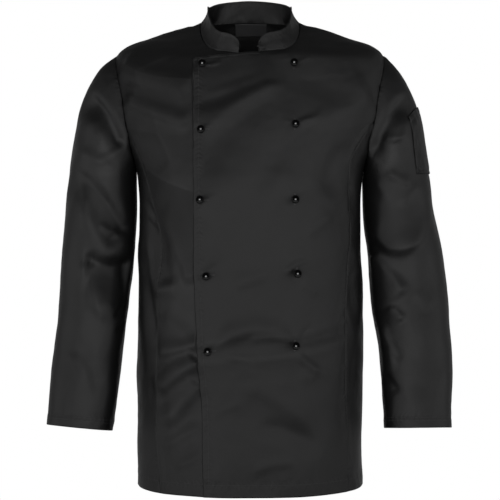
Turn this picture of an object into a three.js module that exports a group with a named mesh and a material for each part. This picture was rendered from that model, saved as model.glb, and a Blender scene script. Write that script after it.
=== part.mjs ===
// A long-sleeved, double-breasted chef jacket with a stand collar, filled out as if worn.
// Lengths are in millimetres and angles in degrees. +Z is up, the front faces -Y, and the
// wearer's left is +X. The origin lies on the centre line, level with the two points where
// the shoulder seams meet the collar, which is where a wearer's shoulders carry the jacket.
import * as THREE from "three";

const { clamp, degToRad, lerp, smoothstep } = THREE.MathUtils;

// Cloth and seams
const CLOTH = 1.5; // wall of a panel
const SEAM_INSET = 0.2; // each panel's edge stops this far short of its seam line
const SEAM_GAP = 0.3; // from a panel's edge to the sleeve or collar sewn to it
const LAYER_GAP = 1.2; // from the inner front up to the front that laps over it

// Torso: level sections from the hem up, each a rounded oblong. The sides widen again
// above the chest, where the sleeves' armholes are cut out, and close over the shoulders.
const SQUARENESS = 2.4; // 2 is an ellipse
const SPREAD_BELOW = -100; // where the torso starts to close over the shoulders
const TORSO = [
  { z: -765, half: 184, front: 130, back: 132 },
  { z: -660, half: 184, front: 129, back: 130 },
  { z: -560, half: 185, front: 128, back: 120 },
  { z: -430, half: 183, front: 128, back: 110 },
  { z: -300, half: 181.5, front: 129, back: 118 },
  { z: -262, half: 184, front: 128, back: 124 },
  { z: -243, half: 187, front: 126, back: 126 },
  { z: -215, half: 199, front: 122, back: 128 },
  { z: -190, half: 211, front: 118, back: 128 },
  { z: -148, half: 223, front: 109, back: 127 },
  { z: -100, half: 226, front: 98, back: 121 },
  { z: -80, half: 225, front: 91, back: 115 },
  { z: -66, half: 222, front: 85, back: 110 },
  { z: -54, half: 218, front: 75, back: 105 },
  { z: -42, half: 204, front: 61, back: 99 },
  { z: -28, half: 166, front: 44, back: 91 },
  { z: -14, half: 127, front: 26, back: 82 },
  { z: 0, half: 82, front: 12, back: 73 },
  { z: 12, half: 78, front: 10, back: 62 },
];
const HEM = { level: -756, frontDip: 5 };

// Armhole: a loop round each side of the torso, by its turn from the shoulder tip (0)
// down the front (90) to the underarm (180) and up the back (270).
const ARMHOLE = { middle: -148.5, rise: 94.5, frontBite: 29, backBite: 28 };
const PANEL_SEAM_TURN = { wearersLeft: 101, wearersRight: 110 }; // where each shaping seam meets it
const PANEL_TIP_CUT = 3.5; // degrees by which a side panel's thin tip stops short of that

// Shaping seams of the fronts: distance from the centre line on each side
const SHAPING_SEAMS = [
  { z: -765, wearersLeft: 159, wearersRight: 141 },
  { z: -660, wearersLeft: 155, wearersRight: 149 },
  { z: -590, wearersLeft: 151.5, wearersRight: 147 },
  { z: -480, wearersLeft: 151.5, wearersRight: 147 },
  { z: -400, wearersLeft: 155, wearersRight: 141 },
  { z: -345, wearersLeft: 160, wearersRight: 146 },
  { z: -300, wearersLeft: 159, wearersRight: 155 },
  { z: -243, wearersLeft: 159.5, wearersRight: 172 },
  { z: -215, wearersLeft: 169, wearersRight: 183 },
];
const SIDE_SEAM_SWING = 7; // the side seam leans this far to the back by the hem

// Fronts: the wearer's left laps over the right, to an edge past the centre line
const LAP_EDGE = [
  { z: -765, x: -73 },
  { z: -620, x: -76 },
  { z: -530, x: -83 },
  { z: -420, x: -87.5 },
  { z: -186, x: -90 },
  { z: -71, x: -91 },
];
const LAP_TOP = [
  { x: -91, z: -71 },
  { x: -70, z: -66.5 },
  { x: -37, z: -63 },
  { x: -17, z: -61 },
  { x: 15, z: -59 },
];
const UNDERLAP = { edge: 72, topAtEdge: -76 };
const EDGE_ROWS_CLOSE = -185; // height above which the rows of an open front edge lie closer

// The inner front dips under the lap from one x to the other, and comes back to the neckline
// over a range of heights. Well inside the lap it lies flat and deeper, clear of the lap's folds.
const LAP_DIP = { from: -130, to: -93, neckFrom: -57, neckTo: -30 };
const LAP_FLAT = { from: -75, to: -45, below: -70, fullBelow: -100, extraDepth: 4.2 };

// Neckline, from the shoulder point to the collar's front end, on either side
const NECKLINE = [
  { x: 15, z: -59 },
  { x: 42, z: -57.5 },
  { x: 58, z: -53 },
  { x: 70, z: -45 },
  { x: 77, z: -34 },
  { x: 80.5, z: -22 },
  { x: 82, z: -10 },
  { x: 82, z: 0 },
];
const NECKLINE_STRAIGHT = 0.75; // share of the neckline after which it runs on to the collar's end
const RIGHT_COLLAR_END = -19;
const BACK_NECK_RISE = 11;

// Collar: a band, lower in front than behind, with rounded front ends
const COLLAR = { height: 35, frontHeight: 27, endHeight: 14, corner: 24, narrowing: 0.85, lean: 0.95 };
const COLLAR_GROWS = { fromY: -80, toY: 40 };

// Sleeves: sections across each arm below the armhole, centred on (x, y, z)
const SLEEVES = {
  wearersLeft: [
    { z: -256, x: 239.5, y: 2, half: 54.5, depth: 62 },
    { z: -320, x: 246, y: 2, half: 59, depth: 61 },
    { z: -391, x: 256, y: 0, half: 61.5, depth: 58 },
    { z: -457, x: 262.5, y: -6, half: 62, depth: 54 },
    { z: -537, x: 270.5, y: -16, half: 59.5, depth: 49 },
    { z: -603, x: 272.5, y: -25, half: 57, depth: 45 },
    { z: -664, x: 273, y: -33, half: 54.5, depth: 42 },
  ],
  wearersRight: [
    { z: -256, x: 242.5, y: 2, half: 55.5, depth: 63 },
    { z: -320, x: 246, y: 2, half: 59, depth: 61 },
    { z: -391, x: 250, y: 0, half: 58.5, depth: 57 },
    { z: -457, x: 256, y: -6, half: 58, depth: 53 },
    { z: -537, x: 264, y: -15, half: 56, depth: 48 },
    { z: -603, x: 270.5, y: -23, half: 55, depth: 44 },
    { z: -664, x: 276.5, y: -30, half: 52, depth: 41 },
  ],
};

// A sleeve's cap leaves the armhole in these directions, and swells on its way to the arm
const CAP_FULLNESS = 0.9;
const CAP_LEAVES = {
  top: { outwards: 0.88, up: -0.48 },
  side: { outwards: 0.9, up: -0.25 },
  underarm: { outwards: 0.12, up: -1 },
  spread: 0.25,
};
const UNDERARM_BELOW = -0.6; // cosine of the turn past which the sleeve starts beside the torso
const CAP_SETTLES = 0.35; // share of the cap over which folds come in from the armhole seam

// Pen pocket on the outside of the wearer's left sleeve, by the sleeve's own rows and columns
const POCKET = { rowsFrom: 4, rowsTo: 8, columnsFrom: -1, columnsTo: 4 };

// Plain label inside the back neck, by the back's own rows and columns
const LABEL = { rows: 1.8, columns: 2.9, belowSeam: 0.05, thickness: 0.8, clearance: 0.9 };

// Ball studs in two columns down the lap
const STUD = { ball: 6.6, neck: 2.2, neckHeight: 1.2, seatGap: 0.35, arcSteps: 6, sides: 8 };
const STUDS = [
  { name: "stud_right_1", x: -75, z: -83 },
  { name: "stud_right_2", x: -75, z: -186 },
  { name: "stud_right_3", x: -75, z: -297 },
  { name: "stud_right_4", x: -67, z: -414 },
  { name: "stud_right_5", x: -65, z: -532 },
  { name: "stud_left_1", x: 69, z: -80 },
  { name: "stud_left_2", x: 70, z: -178 },
  { name: "stud_left_3", x: 70, z: -296 },
  { name: "stud_left_4", x: 73, z: -411 },
  { name: "stud_left_5", x: 70, z: -524 },
];

// Largest folds, as lines on the front (side -1) or back (side 1) of the torso or an arm,
// bowed by bend, with a ridge (height above 0) or trough (below 0) that fades at its ends
const FOLD_FADE = 0.3;
const FOLDS = [
  { side: -1, x0: -205, z0: -94, x1: -88, z1: -134, bend: 0, width: 18, height: 4 },
  { side: -1, x0: -203, z0: -132, x1: -88, z1: -162, bend: -3, width: 15, height: -5 },
  { side: -1, x0: -158, z0: -300, x1: -126, z1: -432, bend: 0, width: 14, height: -9 },
  { side: -1, x0: -140, z0: -290, x1: -92, z1: -445, bend: 6, width: 16, height: 5 },
  { side: -1, x0: -150, z0: -533, x1: -70, z1: -512, bend: 0, width: 12, height: -4 },
  { side: -1, x0: -150, z0: -580, x1: -68, z1: -538, bend: 0, width: 12, height: -4 },
  { side: -1, x0: -150, z0: -556, x1: -70, z1: -530, bend: 0, width: 10, height: 3 },
  { side: -1, x0: -42, z0: -520, x1: 74, z1: -524, bend: 22, width: 13, height: -4 },
  { side: -1, x0: 68, z0: -528, x1: 118, z1: -580, bend: 0, width: 12, height: -4 },
  { side: -1, x0: -30, z0: -570, x1: 115, z1: -665, bend: 8, width: 18, height: 4 },
  { side: -1, x0: 45, z0: -645, x1: 122, z1: -705, bend: 8, width: 14, height: -4 },
  { side: -1, x0: 155, z0: -200, x1: 120, z1: -290, bend: -8, width: 12, height: -4 },
  { side: -1, x0: -85, z0: -186, x1: 65, z1: -100, bend: 0, width: 18, height: 3 },
  { side: -1, x0: -82, z0: -152, x1: 35, z1: -88, bend: 0, width: 14, height: -3 },
  { side: -1, x0: -270, z0: -124, x1: -204, z1: -210, bend: 10, width: 14, height: -7 },
  { side: -1, x0: -272, z0: -152, x1: -210, z1: -228, bend: 4, width: 16, height: 4 },
  { side: -1, x0: -292, z0: -246, x1: -196, z1: -368, bend: -4, width: 15, height: -6 },
  { side: -1, x0: -284, z0: -272, x1: -215, z1: -400, bend: -6, width: 13, height: 4 },
  { side: -1, x0: -268, z0: -394, x1: -196, z1: -404, bend: -4, width: 12, height: -6 },
  { side: -1, x0: -262, z0: -392, x1: -222, z1: -510, bend: -4, width: 13, height: -5 },
  { side: -1, x0: 262, z0: -124, x1: 196, z1: -226, bend: -13, width: 14, height: -7 },
  { side: -1, x0: 262, z0: -154, x1: 206, z1: -228, bend: -6, width: 16, height: 4 },
  { side: -1, x0: 188, z0: -310, x1: 296, z1: -340, bend: -36, width: 14, height: -6 },
  { side: -1, x0: 196, z0: -386, x1: 250, z1: -450, bend: 0, width: 13, height: -6 },
  { side: -1, x0: 204, z0: -480, x1: 234, z1: -600, bend: 6, width: 12, height: -4 },
  { side: 1, x0: -150, z0: -150, x1: -40, z1: -290, bend: 14, width: 22, height: -5 },
  { side: 1, x0: 155, z0: -165, x1: 30, z1: -310, bend: -14, width: 24, height: -5 },
  { side: 1, x0: -75, z0: -330, x1: -96, z1: -720, bend: 6, width: 22, height: 6 },
  { side: 1, x0: 20, z0: -360, x1: 12, z1: -700, bend: -5, width: 26, height: -5 },
  { side: 1, x0: 95, z0: -340, x1: 118, z1: -735, bend: -8, width: 20, height: 6 },
  { side: 1, x0: -150, z0: -420, x1: 40, z1: -452, bend: 10, width: 18, height: -4 },
  { side: 1, x0: 276, z0: -300, x1: 205, z1: -352, bend: -8, width: 16, height: -5 },
  { side: 1, x0: 300, z0: -410, x1: 210, z1: -440, bend: 8, width: 15, height: -6 },
  { side: 1, x0: -276, z0: -290, x1: -205, z1: -345, bend: 8, width: 16, height: -5 },
  { side: 1, x0: -295, z0: -396, x1: -205, z1: -428, bend: -8, width: 15, height: -6 },
];

// How many steps each seam and edge is cut into
const STEPS = {
  sideSeam: 18,
  armholeFront: 7,
  armholeUnder: 5,
  armholeBack: 8,
  shoulder: 5,
  lap: 6,
  underlap: 5,
  frontNeck: 9,
  backNeck: 14,
  sidePanel: 5,
  cap: 8,
  arm: 16,
  collar: 3,
};

// Reads a table as a smooth curve that never overshoots its rows
function curveThrough(table, key, column) {
  const rows = [...table].sort((a, b) => a[key] - b[key]);
  const at = rows.map((row) => row[key]);
  const value = rows.map((row) => row[column]);
  const slope = at.slice(1).map((next, i) => (value[i + 1] - value[i]) / (next - at[i]));
  const tangent = at.map((_, i) => {
    if (i === 0) return slope[0];
    if (i === at.length - 1) return slope[i - 1];
    const product = slope[i - 1] * slope[i];
    return product <= 0 ? 0 : (2 * product) / (slope[i - 1] + slope[i]);
  });
  return (where) => {
    const x = clamp(where, at[0], at[at.length - 1]);
    let i = 0;
    while (i < at.length - 2 && x > at[i + 1]) i += 1;
    const width = at[i + 1] - at[i];
    return hermite(value[i], tangent[i] * width, value[i + 1], tangent[i + 1] * width, (x - at[i]) / width);
  };
}

function hermite(start, startPull, end, endPull, t) {
  const t2 = t * t;
  const t3 = t2 * t;
  return (
    start * (2 * t3 - 3 * t2 + 1) +
    startPull * (t3 - 2 * t2 + t) +
    end * (3 * t2 - 2 * t3) +
    endPull * (t3 - t2)
  );
}

function evenly(steps, from, to) {
  return Array.from({ length: steps + 1 }, (_, i) => lerp(from, to, i / steps));
}

// Joins lists of samples whose ends meet, keeping one of each shared end
function chain(...lists) {
  return lists.reduce((all, list) => (all.length ? all.concat(list.slice(1)) : [...list]), []);
}

const torsoHalf = curveThrough(TORSO, "z", "half");
const torsoFront = curveThrough(TORSO, "z", "front");
const torsoBack = curveThrough(TORSO, "z", "back");

// A rounded oblong's shares of its half width and depth at an angle from the centre front
function oblong(angle) {
  const across = Math.sin(degToRad(angle));
  const along = Math.cos(degToRad(angle));
  const reach = (Math.abs(across) ** SQUARENESS + Math.abs(along) ** SQUARENESS) ** (-1 / SQUARENESS);
  return { across: reach * across, along: reach * along };
}

// The angle on the front half at which the oblong reaches a share of its half width
function angleOf(share) {
  let low = -90;
  let high = 90;
  for (let i = 0; i < 48; i += 1) {
    const middle = (low + high) / 2;
    if (oblong(middle).across < share) low = middle;
    else high = middle;
  }
  return (low + high) / 2;
}

// A point of the torso, by its angle from the centre front towards the wearer's left
function torsoPoint({ angle, z }) {
  const { across, along } = oblong(angle);
  return new THREE.Vector3(torsoHalf(z) * across, -(along > 0 ? torsoFront(z) : torsoBack(z)) * along, z);
}

const angleAt = (x, z) => angleOf(x / torsoHalf(z));

function hemAt(angle) {
  return HEM.level - HEM.frontDip * Math.cos(degToRad(angle));
}

// Height of the cloth over its smooth form, where it faces the side that a fold is on
function foldHeight(point, out) {
  return FOLDS.reduce((sum, fold) => {
    const facing = smoothstep(fold.side * out.y, 0.1, 0.55);
    if (facing === 0) return sum;
    const dx = fold.x1 - fold.x0;
    const dz = fold.z1 - fold.z0;
    const length = Math.hypot(dx, dz);
    const px = point.x - fold.x0;
    const pz = point.z - fold.z0;
    const along = (px * dx + pz * dz) / (length * length);
    if (along <= 0 || along >= 1) return sum;
    const off = (pz * dx - px * dz) / length - fold.bend * 4 * along * (1 - along);
    const fade = smoothstep(along, 0, FOLD_FADE) * smoothstep(1 - along, 0, FOLD_FADE);
    return sum + fold.height * fade * facing * Math.exp(-((off / fold.width) ** 2));
  }, 0);
}

// Puts a smooth surface's point and outward direction together with its folds
function clothPoint(surface, u, v, sink = 0, foldShare = 1) {
  const step = 0.01;
  const point = surface(u, v);
  const alongU = surface(u + step, v).sub(surface(u - step, v));
  const alongV = surface(u, v + step).sub(surface(u, v - step));
  const out = alongU.cross(alongV).normalize();
  return { point: point.addScaledVector(out, foldShare * foldHeight(point, out) - sink), out };
}

function torsoCloth(place, sink, foldShare) {
  return clothPoint((angle, z) => torsoPoint({ angle, z }), place.angle, place.z, sink, foldShare);
}

// The same place on the inner front, which lies below the smooth form so that the lap clears it
function underLapCloth(place) {
  const { x } = torsoPoint(place);
  const dip = smoothstep(x, LAP_DIP.from, LAP_DIP.to) * (1 - smoothstep(place.z, LAP_DIP.neckFrom, LAP_DIP.neckTo));
  const flat =
    smoothstep(x, LAP_FLAT.from, LAP_FLAT.to) * smoothstep(-place.z, -LAP_FLAT.below, -LAP_FLAT.fullBelow);
  return torsoCloth(place, (CLOTH + LAYER_GAP) * dip + LAP_FLAT.extraDepth * flat, 1 - flat);
}

// Places on the torso, as {angle, z}. side is 1 on the wearer's left and -1 on the right.
function armholePlace(turn, side) {
  const bite = Math.sin(degToRad(turn)) * (turn <= 180 ? -ARMHOLE.frontBite : -ARMHOLE.backBite);
  return { angle: side * (90 + bite), z: ARMHOLE.middle + ARMHOLE.rise * Math.cos(degToRad(turn)) };
}

const sideName = (side) => (side > 0 ? "wearersLeft" : "wearersRight");
const seamLines = Object.fromEntries(
  Object.entries(PANEL_SEAM_TURN).map(([name, turn]) => {
    const { x, z } = torsoPoint(armholePlace(turn, 1));
    const rows = SHAPING_SEAMS.map((row) => ({ z: row.z, x: row[name] }));
    return [name, curveThrough([...rows, { z, x }], "z", "x")];
  }),
);

function armhole(side, from, to, steps) {
  return evenly(steps, from, to).map((turn) => armholePlace(turn, side));
}

const underarm = armholePlace(180, 1);
const underarmRise = (side) => armhole(side, 180, PANEL_SEAM_TURN[sideName(side)], STEPS.armholeUnder);

// A shaping seam has a sample level with each one of the side seam and of the armhole beside it
function shapingSeam(side) {
  const line = seamLines[sideName(side)];
  const foot = side * angleAt(line(HEM.level), HEM.level);
  const levels = chain(
    evenly(STEPS.sideSeam, hemAt(foot), underarm.z),
    underarmRise(side).map((place) => place.z),
  );
  return levels.map((z) => ({ angle: side * angleAt(line(z), z), z }));
}

function sideSeam(side) {
  return evenly(STEPS.sideSeam, 0, 1).map((t) => ({
    angle: side * (90 + SIDE_SEAM_SWING * (1 - t)),
    z: lerp(hemAt(90), underarm.z, t),
  }));
}

function shoulderSeam(side) {
  const tip = armholePlace(0, side);
  return evenly(STEPS.shoulder, tip.z, 0).map((z) => ({ angle: side * 90, z }));
}

const necklineX = curveThrough(NECKLINE, "z", "x");
const necklineLow = NECKLINE[0].z;

// The front neckline, from the shoulder point to the collar's end
function frontNeck(side, endX) {
  return evenly(STEPS.frontNeck, 0, 1).map((t) => {
    const turn = degToRad(90 * t);
    const z = necklineLow * Math.sin(turn) ** 1.4;
    const x = lerp(necklineX(z), Math.abs(endX), smoothstep(t, NECKLINE_STRAIGHT, 1));
    return { angle: side * (t === 0 ? 90 : angleAt(x, z)), z };
  });
}

function backNeck() {
  return evenly(STEPS.backNeck, 90, 270).map((angle) => ({
    angle,
    z: BACK_NECK_RISE * Math.sin(degToRad(angle - 90)) ** 2,
  }));
}

// Over the shoulders the torso's sections close up quickly. A place's spread angle is its
// angle on a section that stays as wide as below them, so that a patch doesn't fold there.
const spreadShare = (z) => torsoHalf(z) / torsoHalf(Math.min(z, SPREAD_BELOW));

function scaleAngle(angle, share, onBack) {
  const frontAngle = angleOf(oblong(angle).across * share);
  return onBack ? 180 - frontAngle : frontAngle;
}

// Fills a four-sided patch of the front or back from its edges. Left and right run upwards,
// bottom and top run from left to right, and their ends meet.
function patch(edges, onBack = false) {
  const toSpread = ({ angle, z }) => ({ angle: scaleAngle(angle, spreadShare(z), onBack), z });
  const fromSpread = ({ angle, z }) => ({ angle: scaleAngle(angle, 1 / spreadShare(z), onBack), z });
  const [left, right, bottom, top] = ["left", "right", "bottom", "top"].map((name) => edges[name].map(toSpread));
  const lastRow = left.length - 1;
  const lastColumn = bottom.length - 1;
  return left.map((_, i) =>
    bottom.map((__, j) => {
      if (j === 0) return edges.left[i];
      if (j === lastColumn) return edges.right[i];
      if (i === 0) return edges.bottom[j];
      if (i === lastRow) return edges.top[j];
      const t = i / lastRow;
      const s = j / lastColumn;
      const place = {};
      for (const key of ["angle", "z"]) {
        const across = lerp(left[i][key], right[i][key], s);
        const upwards = lerp(bottom[j][key], top[j][key], t);
        const corners = lerp(
          lerp(left[0][key], left[lastRow][key], t),
          lerp(right[0][key], right[lastRow][key], t),
          s,
        );
        place[key] = across + upwards - corners;
      }
      return fromSpread(place);
    }),
  );
}

function hemLine(from, to, steps) {
  return evenly(steps, from, to).map((angle) => ({ angle, z: hemAt(angle) }));
}

// Draws the named edges of a grid of cloth in from their seams, square to each edge
function insetEdges(grid, edges, distance = SEAM_INSET) {
  const lastRow = grid.length - 1;
  const lastColumn = grid[0].length - 1;
  const drawn = (name) => (edges.includes(name) ? 1 : 0);
  const towards = (from, i, j) => grid[i][j].point.clone().sub(from.point).normalize();
  return grid.map((row, i) =>
    row.map((sample, j) => {
      const side = j === 0 ? "left" : j === lastColumn ? "right" : null;
      const end = i === 0 ? "bottom" : i === lastRow ? "top" : null;
      const bySide = side ? drawn(side) : 0;
      const byEnd = end ? drawn(end) : 0;
      if (!bySide && !byEnd) return sample;
      const acrossTo = towards(sample, i, j === 0 ? 1 : j - 1);
      const upTo = towards(sample, i === 0 ? 1 : i - 1, j);
      const shift = new THREE.Vector3();
      if (side && end) {
        const sine = acrossTo.clone().cross(upTo).length();
        shift.addScaledVector(acrossTo, bySide / sine).addScaledVector(upTo, byEnd / sine);
      } else {
        const [before, after] = bySide ? [grid[i - 1][j], grid[i + 1][j]] : [row[j - 1], row[j + 1]];
        const along = after.point.clone().sub(before.point).normalize();
        shift.copy(along.cross(sample.out).normalize());
        if (shift.dot(bySide ? acrossTo : upTo) < 0) shift.negate();
      }
      return { point: sample.point.clone().addScaledVector(shift, distance), out: sample.out };
    }),
  );
}

// A closed wall of cloth from a grid of samples. A round grid joins its last column to its first.
function wall(grid, { thickness = CLOTH, round = false, lift = 0 } = {}) {
  const rows = grid.length;
  const columns = grid[0].length;
  const positions = [];
  for (const depth of [lift, lift - thickness]) {
    for (const sample of grid.flat()) {
      positions.push(...sample.point.clone().addScaledVector(sample.out, depth).toArray());
    }
  }
  const outer = (i, j) => i * columns + (j % columns);
  const inner = (i, j) => rows * columns + outer(i, j);
  const indices = [];
  const quad = (a, b, c, d) => indices.push(a, b, c, a, c, d);
  const spans = round ? columns : columns - 1;
  for (let i = 0; i < rows - 1; i += 1) {
    for (let j = 0; j < spans; j += 1) {
      quad(outer(i, j), outer(i, j + 1), outer(i + 1, j + 1), outer(i + 1, j));
      quad(inner(i, j), inner(i + 1, j), inner(i + 1, j + 1), inner(i, j + 1));
    }
  }
  for (let j = 0; j < spans; j += 1) {
    quad(outer(0, j), inner(0, j), inner(0, j + 1), outer(0, j + 1));
    quad(outer(rows - 1, j), outer(rows - 1, j + 1), inner(rows - 1, j + 1), inner(rows - 1, j));
  }
  if (!round) {
    for (let i = 0; i < rows - 1; i += 1) {
      quad(outer(i, 0), outer(i + 1, 0), inner(i + 1, 0), inner(i, 0));
      quad(outer(i, spans), inner(i, spans), inner(i + 1, spans), outer(i + 1, spans));
    }
  }
  if (volume(positions, indices) < 0) indices.reverse();
  const geometry = new THREE.BufferGeometry();
  geometry.setAttribute("position", new THREE.Float32BufferAttribute(positions, 3));
  geometry.setIndex(indices);
  geometry.computeVertexNormals();
  return geometry;
}

function volume(positions, indices) {
  const corner = (index) => new THREE.Vector3().fromArray(positions, 3 * index);
  let sum = 0;
  for (let i = 0; i < indices.length; i += 3) {
    const [a, b, c] = [0, 1, 2].map((k) => corner(indices[i + k]));
    sum += a.dot(b.cross(c));
  }
  return sum / 6;
}

// A smaller grid cut from another between fractional row and column numbers
function cutout(grid, rowsFrom, rowsTo, columnsFrom, columnsTo) {
  const lines = (from, to) => {
    const whole = [];
    for (let k = Math.ceil(from + 1e-3); k < to - 1e-3; k += 1) whole.push(k);
    return [from, ...whole, to];
  };
  const columns = grid[0].length;
  const sampleAt = (row, column) => {
    const i = Math.min(Math.floor(row), grid.length - 2);
    const j = Math.floor(column);
    const pick = (key) => {
      const at = (k, m) => grid[k][((m % columns) + columns) % columns][key];
      const low = at(i, j).clone().lerp(at(i, j + 1), column - j);
      return low.lerp(at(i + 1, j).clone().lerp(at(i + 1, j + 1), column - j), row - i);
    };
    return { point: pick("point"), out: pick("out").normalize() };
  };
  return lines(rowsFrom, rowsTo).map((row) =>
    lines(columnsFrom, columnsTo).map((column) => sampleAt(row, column)),
  );
}

// Materials
const clothFinish = new THREE.MeshStandardMaterial({ name: "twill", color: 0x2a2a2b, roughness: 0.75 });
const labelFinish = new THREE.MeshStandardMaterial({ name: "label", color: 0x3a3a3b, roughness: 0.8 });
const studFinish = new THREE.MeshStandardMaterial({ name: "stud", color: 0x0b0b0c, roughness: 0.15 });

function piece(name, geometry, finish = clothFinish) {
  const mesh = new THREE.Mesh(geometry, finish);
  mesh.name = name;
  return mesh;
}

// Rows of both fronts follow the shaping seam, then the armhole, then the shoulder seam
const frontSide = (side) =>
  chain(
    shapingSeam(side),
    armhole(side, PANEL_SEAM_TURN[sideName(side)], 0, STEPS.armholeFront),
    shoulderSeam(side),
  );
const rowsToArmhole = STEPS.sideSeam + STEPS.armholeUnder;
const rowsAbove = STEPS.armholeFront + STEPS.shoulder;

function openEdge(xAt, top) {
  const foot = hemAt(0);
  const heights = chain(
    evenly(rowsToArmhole, foot, EDGE_ROWS_CLOSE),
    evenly(rowsAbove, EDGE_ROWS_CLOSE, top),
  );
  return heights.map((z) => ({ angle: angleAt(xAt(z), z), z }));
}

const lapX = curveThrough(LAP_EDGE, "z", "x");
const lapZ = curveThrough(LAP_TOP, "x", "z");
const [lapStart, lapEnd] = [LAP_TOP[0], LAP_TOP[LAP_TOP.length - 1]];

function leftFrontGrid() {
  const left = openEdge(lapX, lapStart.z);
  const right = frontSide(1);
  const lapTop = evenly(STEPS.lap, lapStart.x, lapEnd.x).map((x) => ({
    angle: angleAt(x, lapZ(x)),
    z: lapZ(x),
  }));
  const top = chain(lapTop, frontNeck(1, lapEnd.x).reverse());
  const bottom = hemLine(left[0].angle, right[0].angle, top.length - 1);
  left[0] = bottom[0];
  right[0] = bottom[bottom.length - 1];
  return patch({ left, right, bottom, top }).map((row) => row.map((place) => torsoCloth(place)));
}

function rightFrontGrid() {
  const left = frontSide(-1);
  const right = openEdge(() => UNDERLAP.edge, UNDERLAP.topAtEdge);
  const underTop = evenly(STEPS.underlap, 0, 1).map((t) => {
    const z = lerp(necklineLow, UNDERLAP.topAtEdge, t);
    return { angle: angleAt(lerp(RIGHT_COLLAR_END, UNDERLAP.edge, t), z), z };
  });
  const top = chain(frontNeck(-1, RIGHT_COLLAR_END), underTop);
  const bottom = hemLine(left[0].angle, right[0].angle, top.length - 1);
  left[0] = bottom[0];
  right[0] = bottom[bottom.length - 1];
  return patch({ left, right, bottom, top }).map((row) => row.map(underLapCloth));
}

function sidePanelGrid(side) {
  const front = shapingSeam(side);
  const back = chain(sideSeam(side), underarmRise(side));
  const last = front.length - 1;
  const tip = armholePlace(PANEL_SEAM_TURN[sideName(side)] + PANEL_TIP_CUT, side);
  const share = (tip.z - front[last - 1].z) / (front[last].z - front[last - 1].z);
  front[last] = { angle: lerp(front[last - 1].angle, front[last].angle, share), z: tip.z };
  back[last] = tip;
  return front.map((start, i) =>
    evenly(STEPS.sidePanel, 0, 1).map((s) =>
      torsoCloth({ angle: lerp(start.angle, back[i].angle, s), z: lerp(start.z, back[i].z, s) }),
    ),
  );
}

function backGrid() {
  const edge = (side) => chain(sideSeam(side), armhole(side, 180, 360, STEPS.armholeBack), shoulderSeam(side));
  const left = edge(1);
  const right = edge(-1).map(({ angle, z }) => ({ angle: angle + 360, z }));
  const bottom = hemLine(left[0].angle, right[0].angle, STEPS.backNeck);
  left[0] = bottom[0];
  right[0] = bottom[bottom.length - 1];
  const places = patch({ left, right, bottom, top: backNeck() }, true);
  return places.map((row) => row.map((place) => torsoCloth(place)));
}

// A section across an arm: its centre, and its point at a turn round it
function armSection(side, t) {
  const table = SLEEVES[sideName(side)];
  const z = lerp(table[0].z, table[table.length - 1].z, t);
  const read = (column) => armCurves[sideName(side)][column](z);
  return { centre: new THREE.Vector3(side * read("x"), read("y"), z), half: read("half"), depth: read("depth") };
}

const armCurves = Object.fromEntries(
  Object.entries(SLEEVES).map(([name, table]) => [
    name,
    Object.fromEntries(["x", "y", "half", "depth"].map((column) => [column, curveThrough(table, "z", column)])),
  ]),
);

function armAxis(side, t) {
  const step = 0.02;
  const low = armSection(side, clamp(t + step, 0, 1)).centre;
  return low.sub(armSection(side, clamp(t - step, 0, 1)).centre).normalize();
}

function armPoint(side, turn, t) {
  const { centre, half, depth } = armSection(side, t);
  const axis = armAxis(side, t);
  const outwards = new THREE.Vector3(side, 0, 0);
  outwards.addScaledVector(axis, -outwards.dot(axis)).normalize();
  const forwards = new THREE.Vector3(0, -1, 0);
  forwards.addScaledVector(axis, -forwards.dot(axis)).normalize();
  return centre
    .addScaledVector(outwards, half * Math.cos(degToRad(turn)))
    .addScaledVector(forwards, depth * Math.sin(degToRad(turn)));
}

// The way in which the sleeve leaves the armhole: on over the shoulder at the top,
// straight out at front and back, and down beside the torso at the underarm
function capStart(side, turn) {
  const { point } = torsoCloth(armholePlace(turn, side));
  const level = Math.cos(degToRad(turn));
  const [end, share] = level > 0 ? [CAP_LEAVES.top, level] : [CAP_LEAVES.underarm, (-level) ** 1.5];
  const leave = new THREE.Vector3(
    side * lerp(CAP_LEAVES.side.outwards, end.outwards, share),
    -CAP_LEAVES.spread * Math.sin(degToRad(turn)),
    lerp(CAP_LEAVES.side.up, end.up, share),
  ).normalize();
  const away = level > UNDERARM_BELOW ? leave : new THREE.Vector3(side, 0, 0);
  return { point: point.addScaledVector(away, SEAM_GAP), leave };
}

// t runs from 0 at the armhole to 1 at the top of the arm's sections, and on to 2 at the cuff
function sleevePoint(side, turn, t) {
  if (t >= 1) return armPoint(side, turn, t - 1);
  const start = capStart(side, turn);
  const end = armPoint(side, turn, 0);
  const pull = start.point.distanceTo(end) * CAP_FULLNESS;
  const axis = armAxis(side, 0);
  return new THREE.Vector3(
    ...["x", "y", "z"].map((k) =>
      hermite(start.point[k], start.leave[k] * pull, end[k], axis[k] * pull, Math.max(t, 0)),
    ),
  );
}

function sleeveGrid(side) {
  const turns = chain(
    evenly(STEPS.armholeFront, 0, PANEL_SEAM_TURN[sideName(side)]),
    evenly(STEPS.armholeUnder, PANEL_SEAM_TURN[sideName(side)], 180),
    evenly(STEPS.armholeBack, 180, 360),
  ).slice(0, -1);
  const stations = chain(evenly(STEPS.cap, 0, 1), evenly(STEPS.arm, 1, 2));
  return stations.map((t) =>
    turns.map((turn) => {
      const step = 0.01;
      const point = sleevePoint(side, turn, t);
      const around = sleevePoint(side, turn + 1, t).sub(sleevePoint(side, turn - 1, t));
      const down = sleevePoint(side, turn, Math.min(t + step, 2)).sub(sleevePoint(side, turn, Math.max(t - step, 0)));
      const out = around.cross(down).multiplyScalar(side).normalize();
      const settled = smoothstep(t, 0, CAP_SETTLES);
      return { point: point.addScaledVector(out, settled * foldHeight(point, out)), out };
    }),
  );
}

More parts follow.
